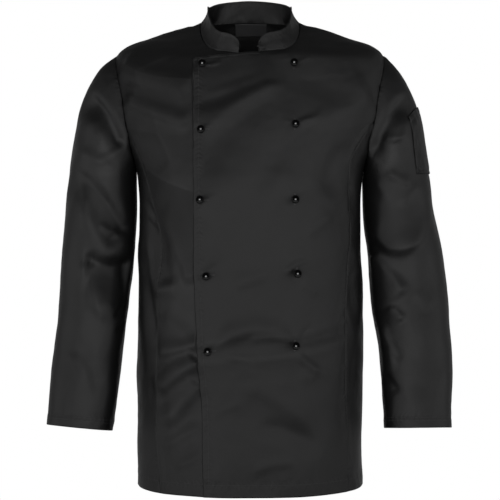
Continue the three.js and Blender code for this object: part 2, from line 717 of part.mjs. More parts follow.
// The collar stands on the neckline and narrows towards its top edge
function collarGrid() {
  const base = chain(
    frontNeck(-1, RIGHT_COLLAR_END).reverse().map(underLapCloth),
    backNeck().reverse().map((place) => torsoCloth(place)),
    frontNeck(1, lapEnd.x).map((place) => torsoCloth(place)),
  ).map((sample) => sample.point);
  const lengths = base.reduce((all, point, i) => {
    all.push(i === 0 ? 0 : all[i - 1] + point.distanceTo(base[i - 1]));
    return all;
  }, []);
  const whole = lengths[lengths.length - 1];
  return evenly(STEPS.collar, 0, 1).map((v) =>
    base.map((foot, i) => {
      const fromEnd = Math.min(lengths[i], whole - lengths[i]);
      const round = Math.sqrt(1 - (1 - Math.min(fromEnd / COLLAR.corner, 1)) ** 2);
      const behind = smoothstep(foot.y, COLLAR_GROWS.fromY, COLLAR_GROWS.toY);
      const fullHeight = lerp(COLLAR.frontHeight, COLLAR.height, behind);
      const height = lerp(COLLAR.endHeight, fullHeight, round) * v;
      const risen = height / fullHeight;
      const ease = 1 - (1 - risen) ** 2;
      const inwards = new THREE.Vector3(-foot.x, -foot.y, 0).normalize();
      const point = new THREE.Vector3(
        foot.x * lerp(1, COLLAR.narrowing, ease),
        foot.y * lerp(1, COLLAR.lean, ease),
        foot.z + height + SEAM_GAP,
      ).addScaledVector(inwards, SEAM_GAP + SEAM_INSET);
      return { point, out: inwards.negate() };
    }),
  );
}

function studGeometry() {
  const { ball, neck, neckHeight, arcSteps, sides } = STUD;
  const start = Math.asin(neck / ball);
  const centre = neckHeight + ball * Math.cos(start);
  const arc = evenly(arcSteps, start, Math.PI).map(
    (a) => new THREE.Vector2(ball * Math.sin(a), centre - ball * Math.cos(a)),
  );
  arc[arc.length - 1].x = 0;
  return new THREE.LatheGeometry([new THREE.Vector2(0, 0), new THREE.Vector2(neck, 0), ...arc], sides);
}

// Seats a stud on the face of the front that lies straight behind (x, z)
function stud({ name, x, z }, front) {
  const ray = new THREE.Raycaster(new THREE.Vector3(x, -2 * TORSO[0].front, z), new THREE.Vector3(0, 1, 0));
  const [hit] = ray.intersectObject(front);
  const mesh = piece(name, studGeometry(), studFinish);
  mesh.quaternion.setFromUnitVectors(new THREE.Vector3(0, 1, 0), hit.face.normal);
  mesh.position.copy(hit.point).addScaledVector(hit.face.normal, STUD.seatGap);
  return mesh;
}

const leftFront = piece("front_left", wall(insetEdges(leftFrontGrid(), ["right"])));
const back = insetEdges(backGrid(), ["left", "right", "top"]);
const leftSleeve = sleeveGrid(1);
const { rowsFrom, rowsTo, columnsFrom, columnsTo } = POCKET;
const pocket = cutout(leftSleeve, rowsFrom, rowsTo, columnsFrom, columnsTo);
const backTop = back.length - 1;
const backMiddle = STEPS.backNeck / 2;
const label = cutout(
  back,
  backTop - LABEL.rows,
  backTop - LABEL.belowSeam,
  backMiddle - LABEL.columns / 2,
  backMiddle + LABEL.columns / 2,
);

const jacket = new THREE.Group();
jacket.add(
  leftFront,
  piece("front_right", wall(insetEdges(rightFrontGrid(), ["left"]))),
  piece("side_panel_left", wall(insetEdges(sidePanelGrid(1), ["left", "right", "top"]))),
  piece("side_panel_right", wall(insetEdges(sidePanelGrid(-1), ["left", "right", "top"]))),
  piece("back", wall(back)),
  piece("sleeve_left", wall(leftSleeve, { round: true })),
  piece("sleeve_right", wall(sleeveGrid(-1), { round: true })),
  piece("collar", wall(collarGrid())),
  piece("sleeve_pocket", wall(pocket, { lift: CLOTH + SEAM_GAP })),
  piece("neck_label", wall(label, { lift: -CLOTH - LABEL.clearance, thickness: LABEL.thickness }), labelFinish),
  ...STUDS.map((row) => stud(row, leftFront)),
);

export default jacket;
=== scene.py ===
# %% [markdown]
# This lesson dresses a chef jacket: long sleeves, a double-breasted front with ten ball
# studs, a stand collar and a pen pocket on one sleeve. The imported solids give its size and
# its place. Each one is a stiff wall with the largest folds, and here it gets finer cloth
# with the small creases, the sewing and the finish of black twill.

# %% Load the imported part
import math

import bpy
import numpy as np
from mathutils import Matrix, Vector


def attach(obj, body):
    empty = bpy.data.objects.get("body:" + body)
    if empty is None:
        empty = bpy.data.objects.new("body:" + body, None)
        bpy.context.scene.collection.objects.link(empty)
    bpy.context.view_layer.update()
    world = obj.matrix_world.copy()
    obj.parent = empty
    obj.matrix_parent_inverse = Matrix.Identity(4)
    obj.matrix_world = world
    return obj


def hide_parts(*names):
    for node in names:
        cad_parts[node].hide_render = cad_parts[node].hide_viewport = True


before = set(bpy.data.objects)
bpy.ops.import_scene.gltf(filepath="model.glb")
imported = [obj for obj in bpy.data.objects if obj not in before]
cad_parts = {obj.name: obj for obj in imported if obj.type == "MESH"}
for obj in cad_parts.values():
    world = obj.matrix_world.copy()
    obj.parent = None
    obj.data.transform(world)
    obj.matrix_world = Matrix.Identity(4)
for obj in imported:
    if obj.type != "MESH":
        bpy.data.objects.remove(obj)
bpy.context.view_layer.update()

MM = 0.001

# %% [markdown]
# The cloth is drawn from the same named sizes as the solids. Lengths are in millimetres and
# angles in degrees: +Z is up, the front faces -Y, and the wearer's left is +X. A table that
# is read as a smooth curve keeps between its own rows, so it never bulges.

# %% Small helpers for curves
def smoothstep(value, low, high):
    share = np.clip((np.asarray(value, float) - low) / (high - low), 0, 1)
    return share * share * (3 - 2 * share)


def lerp(start, end, share):
    return start + (end - start) * share


def hermite(start, start_pull, end, end_pull, t):
    t2, t3 = t * t, t * t * t
    return (
        start * (2 * t3 - 3 * t2 + 1)
        + start_pull * (t3 - 2 * t2 + t)
        + end * (3 * t2 - 2 * t3)
        + end_pull * (t3 - t2)
    )


class Curve:
    """Reads two columns of a table as a smooth curve that never overshoots its rows."""

    def __init__(self, rows, key, column):
        pairs = sorted((row[key], row[column]) for row in rows)
        self.at, self.value = (np.array(list(column), float) for column in zip(*pairs))
        slope = np.diff(self.value) / np.diff(self.at)
        before, after = slope[:-1], slope[1:]
        same_way = before * after > 0
        total = np.where(same_way, before + after, 1)
        inner = np.where(same_way, 2 * before * after / total, 0)
        self.tangent = np.concatenate([slope[:1], inner, slope[-1:]])

    def __call__(self, where):
        x = np.clip(where, self.at[0], self.at[-1])
        i = np.clip(np.searchsorted(self.at, x) - 1, 0, len(self.at) - 2)
        width = self.at[i + 1] - self.at[i]
        pulls = self.tangent[i] * width, self.tangent[i + 1] * width
        return hermite(self.value[i], pulls[0], self.value[i + 1], pulls[1], (x - self.at[i]) / width)


def evenly(steps, start, end):
    return np.linspace(start, end, steps + 1)


def chain(*lists):
    return np.concatenate([lists[0]] + [part[1:] for part in lists[1:]])


def along_line(points):
    return np.concatenate([[0], np.cumsum(np.linalg.norm(np.diff(points, axis=0), axis=1))])


def unit(vectors):
    return vectors / np.maximum(np.linalg.norm(vectors, axis=-1, keepdims=True), 1e-9)


# %% [markdown]
# A worn jacket is a tube round the trunk. Each level section is a rounded oblong, given by
# its half width and its depths in front and behind, from the hem up over the shoulders.

# %% The torso's form
SQUARENESS = 2.4
SPREAD_BELOW = -100
TORSO = [  # height, half width, depth in front, depth behind
    (-765, 184, 130, 132), (-660, 184, 129, 130), (-560, 185, 128, 120), (-430, 183, 128, 110),
    (-300, 181.5, 129, 118), (-262, 184, 128, 124), (-243, 187, 126, 126), (-215, 199, 122, 128),
    (-190, 211, 118, 128), (-148, 223, 109, 127), (-100, 226, 98, 121), (-80, 225, 91, 115),
    (-66, 222, 85, 110), (-54, 218, 75, 105), (-42, 204, 61, 99), (-28, 166, 44, 91),
    (-14, 127, 26, 82), (0, 82, 12, 73), (12, 78, 10, 62),
]
HEM_LEVEL, HEM_FRONT_DIP = -756, 5
torso_half, torso_front, torso_back = (Curve(TORSO, 0, column) for column in (1, 2, 3))


def oblong(angle, squareness=SQUARENESS):
    across, along = np.sin(np.radians(angle)), np.cos(np.radians(angle))
    reach = (np.abs(across) ** squareness + np.abs(along) ** squareness) ** (-1 / squareness)
    return reach * across, reach * along


def angle_of(share):
    """The angle on the front half at which the oblong reaches a share of its half width."""
    share = np.clip(share, -1, 1)
    along = (1 - np.abs(share) ** SQUARENESS) ** (1 / SQUARENESS)
    return np.degrees(np.arctan2(share, along))


def torso_point(angle, z):
    across, along = oblong(angle)
    depth = np.where(along > 0, torso_front(z), torso_back(z))
    return np.stack([torso_half(z) * across, -depth * along, z + 0 * across], -1)


def angle_at(x, z):
    return angle_of(x / torso_half(z))


def hem_at(angle):
    return HEM_LEVEL - HEM_FRONT_DIP * np.cos(np.radians(angle))


def outward(surface, u, v, step=0.01):
    along_u = surface(u + step, v) - surface(u - step, v)
    along_v = surface(u, v + step) - surface(u, v - step)
    return unit(np.cross(along_u, along_v))


# %% [markdown]
# Seams, edges and the two armholes are lines on that form. A place on it is an angle from
# the centre front towards the wearer's left, and a height.

# %% Seam lines and edges
ARMHOLE_MIDDLE, ARMHOLE_RISE, FRONT_BITE, BACK_BITE = -148.5, 94.5, 29, 28
PANEL_SEAM_TURN = {1: 101, -1: 110}
PANEL_TIP_CUT = 3.5
SHAPING_SEAMS = [  # height, distance from the centre on the wearer's left and right
    (-765, 159, 141), (-660, 155, 149), (-590, 151.5, 147), (-480, 151.5, 147), (-400, 155, 141),
    (-345, 160, 146), (-300, 159, 155), (-243, 159.5, 172), (-215, 169, 183),
]
SIDE_SEAM_SWING = 7
LAP_EDGE = [(-765, -73), (-620, -76), (-530, -83), (-420, -87.5), (-186, -90), (-71, -91)]
LAP_TOP = [(-91, -71), (-70, -66.5), (-37, -63), (-17, -61), (15, -59)]
UNDERLAP_EDGE, UNDERLAP_TOP = 72, -76
EDGE_ROWS_CLOSE = -185
NECKLINE = [
    (15, -59), (42, -57.5), (58, -53), (70, -45), (77, -34), (80.5, -22), (82, -10), (82, 0),
]
NECKLINE_STRAIGHT, NECKLINE_STEPS_CLOSE = 0.75, 1.4
RIGHT_COLLAR_END = -19
BACK_NECK_RISE = 11


def places(angle, z):
    angle, z = np.broadcast_arrays(np.asarray(angle, float), np.asarray(z, float))
    return np.stack([angle, z], -1)


def armhole_place(turn, side):
    across = np.sin(np.radians(turn))
    bite = across * np.where(across > 0, -FRONT_BITE, -BACK_BITE)
    return places(side * (90 + bite), ARMHOLE_MIDDLE + ARMHOLE_RISE * np.cos(np.radians(turn)))


def shaping_seam_line(side):
    angle, z = armhole_place(PANEL_SEAM_TURN[side], 1)
    rows = [(row[0], row[1 if side > 0 else 2]) for row in SHAPING_SEAMS]
    return Curve(rows + [(z, torso_point(angle, z)[0])], 0, 1)


seam_lines = {side: shaping_seam_line(side) for side in (1, -1)}
neckline_x = Curve([(z, x) for x, z in NECKLINE], 0, 1)
lap_x, lap_z = Curve(LAP_EDGE, 0, 1), Curve(LAP_TOP, 0, 1)
UNDERARM_Z = ARMHOLE_MIDDLE - ARMHOLE_RISE

# %% [markdown]
# Each seam is cut into a number of steps, so that the cloth on its two sides meets point by
# point. Six or eight cells stand for each of the solids' own, and are 3 to 5 mm wide.

# %% Steps along each seam
FINE = 6
SIDE_SEAM, ARMHOLE_FRONT, ARMHOLE_UNDER, ARMHOLE_BACK, SHOULDER = (FINE * n for n in (18, 7, 5, 8, 5))
LAP, UNDERLAP, FRONT_NECK, SIDE_PANEL = (FINE * n for n in (6, 5, 9, 5))
BACK_CELLS = 14
BACK_NECK = (8 if FINE > 2 else 3) * BACK_CELLS
CAP, ARM, COLLAR_ROWS = (4 * FINE // 3 * n for n in (8, 16, 2))
LAP_TOP_SHARE, UNDER_TOP_SHARE = LAP / (LAP + FRONT_NECK), FRONT_NECK / (FRONT_NECK + UNDERLAP)
print("cells up a front:", SIDE_SEAM + ARMHOLE_UNDER + ARMHOLE_FRONT + SHOULDER)


def armhole(side, start, end, steps):
    return armhole_place(evenly(steps, start, end), side)


def underarm_rise(side):
    return armhole(side, 180, PANEL_SEAM_TURN[side], ARMHOLE_UNDER)


def shaping_seam(side):
    line = seam_lines[side]
    foot = side * angle_at(line(HEM_LEVEL), HEM_LEVEL)
    z = chain(evenly(SIDE_SEAM, hem_at(foot), UNDERARM_Z), underarm_rise(side)[:, 1])
    return places(side * angle_at(line(z), z), z)


def side_seam(side):
    t = evenly(SIDE_SEAM, 0, 1)
    return places(side * (90 + SIDE_SEAM_SWING * (1 - t)), lerp(hem_at(90), UNDERARM_Z, t))


def shoulder_seam(side):
    return places(side * 90, evenly(SHOULDER, armhole_place(0, side)[1], 0))


def front_neck(side, end_x):
    t = evenly(FRONT_NECK, 0, 1)
    z = NECKLINE[0][1] * np.sin(np.radians(90 * t)) ** NECKLINE_STEPS_CLOSE
    x = lerp(neckline_x(z), abs(end_x), smoothstep(t, NECKLINE_STRAIGHT, 1))
    return places(side * angle_at(x, z), z)


def back_neck():
    angle = evenly(BACK_NECK, 90, 270)
    return places(angle, BACK_NECK_RISE * np.sin(np.radians(angle - 90)) ** 2)


def hem_line(start, end, steps):
    angle = evenly(steps, start, end)
    return places(angle, hem_at(angle))


def front_side(side):
    up = armhole(side, PANEL_SEAM_TURN[side], 0, ARMHOLE_FRONT)
    return chain(shaping_seam(side), up, shoulder_seam(side))


def open_edge(x_at, top):
    z = chain(
        evenly(SIDE_SEAM + ARMHOLE_UNDER, hem_at(0), EDGE_ROWS_CLOSE),
        evenly(ARMHOLE_FRONT + SHOULDER, EDGE_ROWS_CLOSE, top),
    )
    return places(angle_at(x_at(z), z), z)


# %% [markdown]
# A panel is filled in from its four edges, as a blend of what lies across it and what lies
# up it. Over the shoulders the sections close up quickly, so the blend is worked out on
# angles that stay spread, or the cloth would fold over there.

# %% Filling a panel from its edges
def scale_angle(angle, share, on_back):
    front_angle = angle_of(oblong(angle)[0] * share)
    return 180 - front_angle if on_back else front_angle


def spread(edge, on_back, back_again=False):
    share = torso_half(edge[..., 1]) / torso_half(np.minimum(edge[..., 1], SPREAD_BELOW))
    return places(scale_angle(edge[..., 0], 1 / share if back_again else share, on_back), edge[..., 1])


def patch(left, right, bottom, top, on_back=False):
    edges = [spread(edge, on_back) for edge in (left, right, bottom, top)]
    t = np.linspace(0, 1, len(left))[:, None, None]
    s = np.linspace(0, 1, len(bottom))[None, :, None]
    across = lerp(edges[0][:, None], edges[1][:, None], s)
    upwards = lerp(edges[2][None], edges[3][None], t)
    corners = lerp(lerp(edges[0][0], edges[0][-1], t), lerp(edges[1][0], edges[1][-1], t), s)
    grid = spread(across + upwards - corners, on_back, back_again=True)
    grid[:, 0], grid[:, -1], grid[0], grid[-1] = left, right, bottom, top
    return grid


NEAR_EDGE = (0.2, 0.5)  # shares of the first cell at which more lines lie next to an edge


def more_lines(grid, axis):
    count = grid.shape[axis]
    lines = np.sort([*range(count), *NEAR_EDGE, *(count - 1 - share for share in NEAR_EDGE)])
    low = np.minimum(lines.astype(int), count - 2)
    share = (lines - low).reshape([-1 if k == axis else 1 for k in range(grid.ndim)])
    return lerp(np.take(grid, low, axis), np.take(grid, low + 1, axis), share)


def close_at_edges(grid):
    return more_lines(more_lines(grid, 0), 1)


def front_left_places():
    left, right = open_edge(lap_x, LAP_TOP[0][1]), front_side(1)
    x = evenly(LAP, LAP_TOP[0][0], LAP_TOP[-1][0])
    top = chain(places(angle_at(x, lap_z(x)), lap_z(x)), front_neck(1, LAP_TOP[-1][0])[::-1])
    bottom = hem_line(left[0, 0], right[0, 0], len(top) - 1)
    left[0], right[0] = bottom[0], bottom[-1]
    return patch(left, right, bottom, top)


def front_right_places():
    left, right = front_side(-1), open_edge(lambda z: UNDERLAP_EDGE + 0 * z, UNDERLAP_TOP)
    t = evenly(UNDERLAP, 0, 1)
    z = lerp(NECKLINE[0][1], UNDERLAP_TOP, t)
    under_top = places(angle_at(lerp(RIGHT_COLLAR_END, UNDERLAP_EDGE, t), z), z)
    top = chain(front_neck(-1, RIGHT_COLLAR_END), under_top)
    bottom = hem_line(left[0, 0], right[0, 0], len(top) - 1)
    left[0], right[0] = bottom[0], bottom[-1]
    return patch(left, right, bottom, top)


def side_panel_places(side):
    front, back = shaping_seam(side), chain(side_seam(side), underarm_rise(side))
    tip = armhole_place(PANEL_SEAM_TURN[side] + PANEL_TIP_CUT, side)
    cut = np.searchsorted(front[:, 1], tip[1])
    front, back = front[: cut + 1].copy(), back[: cut + 1].copy()
    share = (tip[1] - front[-2, 1]) / (front[-1, 1] - front[-2, 1])
    front[-1] = lerp(front[-2], front[-1], share)
    back[-1] = tip
    s = np.linspace(0, 1, SIDE_PANEL + 1)[None, :, None]
    return lerp(front[:, None], back[:, None], s)


def back_places():
    def edge(side):
        return chain(side_seam(side), armhole(side, 180, 360, ARMHOLE_BACK), shoulder_seam(side))

    left, right = edge(1), edge(-1) + [360, 0]
    bottom = hem_line(left[0, 0], right[0, 0], BACK_NECK)
    left[0], right[0] = bottom[0], bottom[-1]
    return patch(left, right, bottom, back_neck(), on_back=True)


# %% [markdown]
# A sleeve is a tube. Its cap leaves the armhole over the shoulder, straight out at front and
# back, and down at the underarm, and swells on its way to the arm. Below it, sections along
# the arm carry it to the cuff, with the forearm hanging a little forwards. They are nearly
# ellipses, a little squarer on the inner half, where the sleeve lies by the trunk.

# %% The sleeves' form
SLEEVES = {  # height, then the section's middle in x and y, its half width and half depth
    1: [
        (-256, 239.5, 2, 54.5, 62), (-320, 246, 2, 59, 61), (-391, 256, 0, 61.5, 58),
        (-457, 262.5, -6, 62, 54), (-537, 270.5, -16, 59.5, 49), (-603, 272.5, -25, 57, 45),
        (-664, 273, -33, 54.5, 42),
    ],
    -1: [
        (-256, 242.5, 2, 55.5, 63), (-320, 246, 2, 59, 61), (-391, 250, 0, 58.5, 57),
        (-457, 256, -6, 58, 53), (-537, 264, -15, 56, 48), (-603, 270.5, -23, 55, 44),
        (-664, 276.5, -30, 52, 41),
    ],
}
CAP_FULLNESS = 0.9
ARM_SQUARENESS, ARM_INNER_SQUARENESS = 2.1, 2.3
LEAVES_TOP, LEAVES_SIDE, LEAVES_UNDERARM = (0.88, -0.48), (0.9, -0.25), (0.12, -1)
LEAVES_SPREAD, LEAVES_EASE = 0.25, 1.5
FOLDS_FULL_AT = 0.35  # share of the cap at which the sleeve's own folds have their full height
UNDERARM_BELOW = -0.6
SEAM_GAP = 0.3
arm_curves = {side: [Curve(rows, 0, k) for k in range(1, 5)] for side, rows in SLEEVES.items()}


def arm_section(side, t):
    z = lerp(SLEEVES[side][0][0], SLEEVES[side][-1][0], t)
    x, y, half, depth = (curve(z) for curve in arm_curves[side])
    return np.stack([side * x, y, z + 0 * x], -1), half, depth


def arm_axis(side, t, step=0.02):
    low, high = (arm_section(side, np.clip(t + k * step, 0, 1))[0] for k in (1, -1))
    return unit(low - high)


def arm_point(side, turn, t):
    centre, half, depth = arm_section(side, t)
    axis = arm_axis(side, t)
    square = []
    for way in ((side, 0, 0), (0, -1, 0)):
        way = np.array(way, float)
        square.append(unit(way - axis * (axis @ way)[..., None]))
    squareness = np.where(np.cos(np.radians(turn)) < 0, ARM_INNER_SQUARENESS, ARM_SQUARENESS)
    forward, outwards = oblong(turn, squareness)
    return centre + square[0] * (half * outwards)[..., None] + square[1] * (depth * forward)[..., None]


def cap_start(side, turn):
    point = torso_cloth(armhole_place(turn, side))[0]
    level = np.cos(np.radians(turn))
    share = np.where(level > 0, level, np.abs(level) ** LEAVES_EASE)
    ends = [np.where(level > 0, LEAVES_TOP[k], LEAVES_UNDERARM[k]) for k in (0, 1)]
    leave = unit(np.stack([
        side * lerp(LEAVES_SIDE[0], ends[0], share),
        -LEAVES_SPREAD * np.sin(np.radians(turn)),
        lerp(LEAVES_SIDE[1], ends[1], share),
    ], -1))
    sideways = np.array([side, 0.0, 0.0])
    away = np.where((level > UNDERARM_BELOW)[..., None], leave, sideways)
    return point + away * SEAM_GAP, leave


def sleeve_point(side, turn, t):
    """t runs from 0 at the armhole to 1 at the top of the arm's sections and 2 at the cuff."""
    turn, t = np.broadcast_arrays(np.asarray(turn, float), np.asarray(t, float))
    start, leave = cap_start(side, turn)
    top = np.zeros_like(turn)
    end, axis = arm_point(side, turn, top), arm_axis(side, top)
    pull = (np.linalg.norm(start - end, axis=-1) * CAP_FULLNESS)[..., None]
    cap = hermite(start, leave * pull, end, axis * pull, np.clip(t, 0, 1)[..., None])
    return np.where((t >= 1)[..., None], arm_point(side, turn, np.clip(t - 1, 0, 1)), cap)


def sleeve_grid(side):
    turns = chain(
        evenly(ARMHOLE_FRONT, 0, PANEL_SEAM_TURN[side]),
        evenly(ARMHOLE_UNDER, PANEL_SEAM_TURN[side], 180),
        evenly(ARMHOLE_BACK, 180, 360),
    )[:-1]
    stations = more_lines(chain(evenly(CAP, 0, 1), evenly(ARM, 1, 2)), 0)
    t, turn = np.meshgrid(stations, turns, indexing="ij")
    point = sleeve_point(side, turn, t)
    around = sleeve_point(side, turn + 1, t) - sleeve_point(side, turn - 1, t)
    lower, upper = (sleeve_point(side, turn, np.clip(t + step, 0, 2)) for step in (0.01, -0.01))
    return point, unit(np.cross(around, lower - upper) * side), smoothstep(t, 0, FOLDS_FULL_AT)


# %% [markdown]
# Folds are ridges and troughs along bowed lines, on the front or on the back, that fade at
# their ends. Each is written from its left end to its right one, and is often steeper on one
# side, because cloth that hangs from a tight place drops softly above and turns sharply
# below. Lines are placed one by one, uneven as on a worn jacket.

# %% Large folds
FOLD_FADE = 0.3
FOLDS = [  # side, from x and z, to x and z, bend, width above, width below, height, fades
    (-1, -212, -84, -92, -130, 0, 28, 13, 7, 0.1, 0.12),
    (-1, -204, -132, -91, -178, -3, 17, 10, 6, 0.15, 0.12),
    (-1, -166, -300, -124, -436, 3, 12, 22, -6, 0.45, 0.15),
    (-1, -146, -300, -92, -434, 4, 22, 10, 5, 0.35, 0.15),
    (-1, -150, -540, -82, -522, 0, 16, 8, 5, 0.25, 0.05),
    (-1, -150, -604, -80, -548, 4, 18, 12, 6.5, 0.25, 0.08),
    (-1, -140, -658, -78, -582, 0, 18, 12, 4.5, 0.3, 0.1), (-1, -64, -530, 72, -512, 21, 20, 12, 5),
    (-1, 70, -537, 112, -570, 0, 7, 6, 3.5),
    (-1, -30, -570, 115, -665, 8, 20, 16, 4), (-1, 4, -648, 114, -694, 12, 14, 16, -3.5),
    (-1, 122, -300, 160, -198, 10, 15, 28, -4.5), (-1, -88, -188, 65, -100, 0, 26, 16, 3.4, 0.12, 0.3),
    (-1, -86, -150, 35, -88, 0, 14, 14, -2, 0.12, 0.3),
    (-1, -274, -118, -202, -212, 11, 9, 30, -10, 0.25, 0.15),
    (-1, -272, -152, -210, -228, 4, 16, 16, 4), (-1, -294, -240, -194, -360, 9, 12, 34, -10, 0.25, 0.15),
    (-1, -284, -272, -215, -400, -6, 13, 13, 4), (-1, -270, -388, -192, -398, -10, 14, 42, -12, 0.2, 0.05),
    (-1, -264, -384, -226, -500, -6, 24, 12, 6.5, 0.2, 0.35),
    (-1, 194, -228, 266, -118, 13, 9, 26, -8.5, 0.2, 0.3),
    (-1, 206, -228, 262, -154, 6, 16, 16, 4), (-1, 192, -317, 293, -343, -43, 30, 11, 7.5, 0.25, 0.25),
    (-1, 194, -383, 252, -450, 2, 10, 28, 6, 0.1, 0.2), (-1, 206, -488, 230, -575, 6, 6, 16, 4),
    (1, -150, -150, -40, -290, 14, 22, 22, -5), (1, 30, -310, 155, -165, 14, 24, 24, -5),
    (1, -96, -720, -75, -330, -6, 22, 22, 6), (1, 12, -700, 20, -360, 5, 26, 26, -5),
    (1, 95, -340, 118, -735, -8, 20, 20, 6), (1, -150, -420, 40, -452, 10, 18, 18, -4),
    (1, 205, -352, 276, -300, 8, 16, 16, -5), (1, 210, -440, 300, -410, -8, 15, 15, -6),
    (1, -276, -290, -205, -345, 8, 16, 16, -5), (1, -295, -396, -205, -428, -8, 15, 15, -6),
]

# %% Small creases
CREASES = [  # in the same columns: first the front of the trunk
    (-1, -79, -137, 31, -95, 0, 9, 8, 1.6), (-1, -66, -170, 58, -106, 4, 9, 8, 1.4),
    (-1, -200, -112, -176, -119, 0, 4, 3, 1.2), (-1, -200, -128, -180, -133, 0, 4, 3, 1),
    (-1, 76, -184, 200, -124, 0, 40, 18, 4.5, 0.4, 0.15), (-1, 73, -182, 115, -160, 0, 7, 6, 1.5),
    (-1, 82, -358, 132, -314, 0, 12, 9, 2), (-1, -162, -433, -104, -428, -2, 44, 18, 6.5, 0.35, 0.3),
    (-1, -166, -340, -152, -436, 0, 3, 7, 3), (-1, -166, -414, -148, -523, 0, 6, 8, -3),
    (-1, -170, -290, -146, -330, 0, 4, 5, -2), (-1, -166, -322, -148, -352, 0, 4, 5, -2),
    (-1, -144, -478, -92, -510, 0, 11, 8, 2), (-1, -140, -690, -75, -646, 0, 11, 8, 2.5),
    (-1, -122, -718, -73, -694, 0, 7, 6, 2), (-1, -8, -520, 66, -518, 7, 5, 5, 2),
    (-1, -48, -538, 34, -554, 0, 8, 8, 2), (-1, 82, -520, 148, -512, 6, 11, 8, 2.2),
    (-1, 53, -414, 96, -392, 5, 6, 4, 2.2), (-1, 78, -426, 108, -447, 0, 7, 6, 1.6),
    (-1, 46, -498, 70, -520, 0, 5, 5, 1.6), (-1, 74, -518, 98, -490, 0, 4, 4, -1.3),
    (-1, -36, -436, 34, -416, 5, 12, 10, 1.6), (-1, 70, -572, 130, -560, -5, 12, 9, 1.8),
    (-1, -70, -640, -10, -612, 5, 12, 10, 1.6), (-1, 0, -722, 80, -708, 6, 10, 8, 1.6),
    (-1, 158, -420, 176, -520, 0, 7, 8, -1.2), (-1, 156, -250, 170, -330, 0, 6, 8, -2),
    # the front of the sleeve on the left of the picture
    (-1, -232, -88, -212, -116, 0, 5, 8, -3), (-1, -284, -209, -221, -236, -5, 12, 9, 2.5),
    (-1, -284, -256, -258, -312, 0, 6, 6, 1.6),
    (-1, -220, -486, -197, -452, 0, 3, 5, -2.5), (-1, -217, -512, -199, -482, 0, 3, 5, -2.2),
    (-1, -292, -538, -252, -586, 0, 12, 10, 1.8), (-1, -276, -520, -244, -610, 6, 12, 10, -2),
    (-1, -246, -330, -200, -352, -5, 8, 5, 2.5),
    # the front of the other sleeve
    (-1, 207, -192, 255, -187, -8, 8, 5, 2.5), (-1, 216, -249, 262, -273, 0, 9, 7, 2.5),
    (-1, 238, -307, 278, -266, 0, 9, 6, 2.2), (-1, 198, -262, 222, -300, 4, 8, 8, 1.6),
    (-1, 224, -462, 248, -490, 0, 6, 14, 4), (-1, 214, -572, 240, -606, 0, 7, 12, -3),
    (-1, 212, -520, 244, -556, 4, 8, 12, -2), (-1, 262, -440, 296, -470, 0, 14, 10, 1.6),
    # the back of the trunk
    (1, -196, -118, -120, -160, 4, 9, 6, 3), (1, -190, -150, -96, -214, 6, 10, 7, -3),
    (1, 118, -168, 196, -122, 4, 8, 8, 3), (1, 90, -232, 188, -166, 5, 10, 7, -3),
    (1, -60, -96, 62, -92, -8, 14, 10, 2.5), (1, -150, -470, -60, -446, 5, 8, 8, 3),
    (1, -148, -500, -20, -470, 6, 9, 9, -3), (1, 40, -452, 150, -486, 6, 8, 8, 3),
    (1, 20, -486, 148, -530, 4, 10, 8, -3), (1, -120, -560, -40, -640, 6, 12, 10, 2.5),
    (1, 60, -570, 122, -650, -6, 12, 9, 2.5), (1, -30, -640, 34, -740, 4, 12, 12, -3),
    (1, -176, -300, -150, -390, 0, 7, 9, -3), (1, 150, -400, 174, -310, 0, 7, 9, -3),
    # the backs of the sleeves
    (1, -292, -200, -214, -250, 6, 9, 6, -4), (1, -290, -250, -222, -285, -6, 8, 8, 3),
    (1, -300, -375, -214, -392, -10, 6, 9, -4), (1, -296, -420, -220, -452, 8, 6, 8, 3.5),
    (1, -300, -500, -240, -560, 4, 9, 7, -3), (1, -290, -590, -236, -560, 3, 8, 8, 2.5),
    (1, 214, -252, 290, -204, 5, 8, 6, -4), (1, 218, -290, 284, -256, -5, 8, 8, 3),
    (1, 212, -386, 300, -372, -10, 6, 9, -4), (1, 218, -446, 298, -418, 8, 6, 8, 3.5),
    (1, 240, -556, 300, -506, 4, 9, 7, -3), (1, 238, -600, 292, -622, 3, 8, 8, 2.5),
]

# %% [markdown]
# A ball stud holds both fronts together, and the cloth pulls away from it in short creases.
# They are told by their far ends, measured from the stud, and turned a little at each one.

# %% Creases round the studs
STUDS = {  # distance from the centre, height
    "stud_right_1": (-75, -83), "stud_right_2": (-75, -186), "stud_right_3": (-75, -297),
    "stud_right_4": (-67, -414), "stud_right_5": (-65, -532), "stud_left_1": (69, -80),
    "stud_left_2": (70, -178), "stud_left_3": (70, -296), "stud_left_4": (73, -411),
    "stud_left_5": (70, -524),
}
STUD_DRAGS = [(26, 12, 1.0), (-18, 14, 0.8)]
DRAG_WIDTHS = (4, 3)


def stud_creases():
    rng = np.random.default_rng(31)
    rows = []
    for x, z in STUDS.values():
        for reach_x, reach_z, rise in STUD_DRAGS:
            far = x + reach_x * rng.uniform(0.6, 1.3), z + reach_z * rng.uniform(0.4, 1.4)
            near = x - reach_x * 0.25, z - reach_z * 0.25
            left, right = sorted([near, far])
            rows.append((-1, *left, *right, 0, *DRAG_WIDTHS, rise * rng.uniform(0.5, 1.2)))
    return rows


CREASES += stud_creases()
print("folds and creases:", len(FOLDS), len(CREASES))


# %% The height of the folds
FACING = 0.1, 0.55  # how far the cloth is turned to a fold's side where it starts and is full


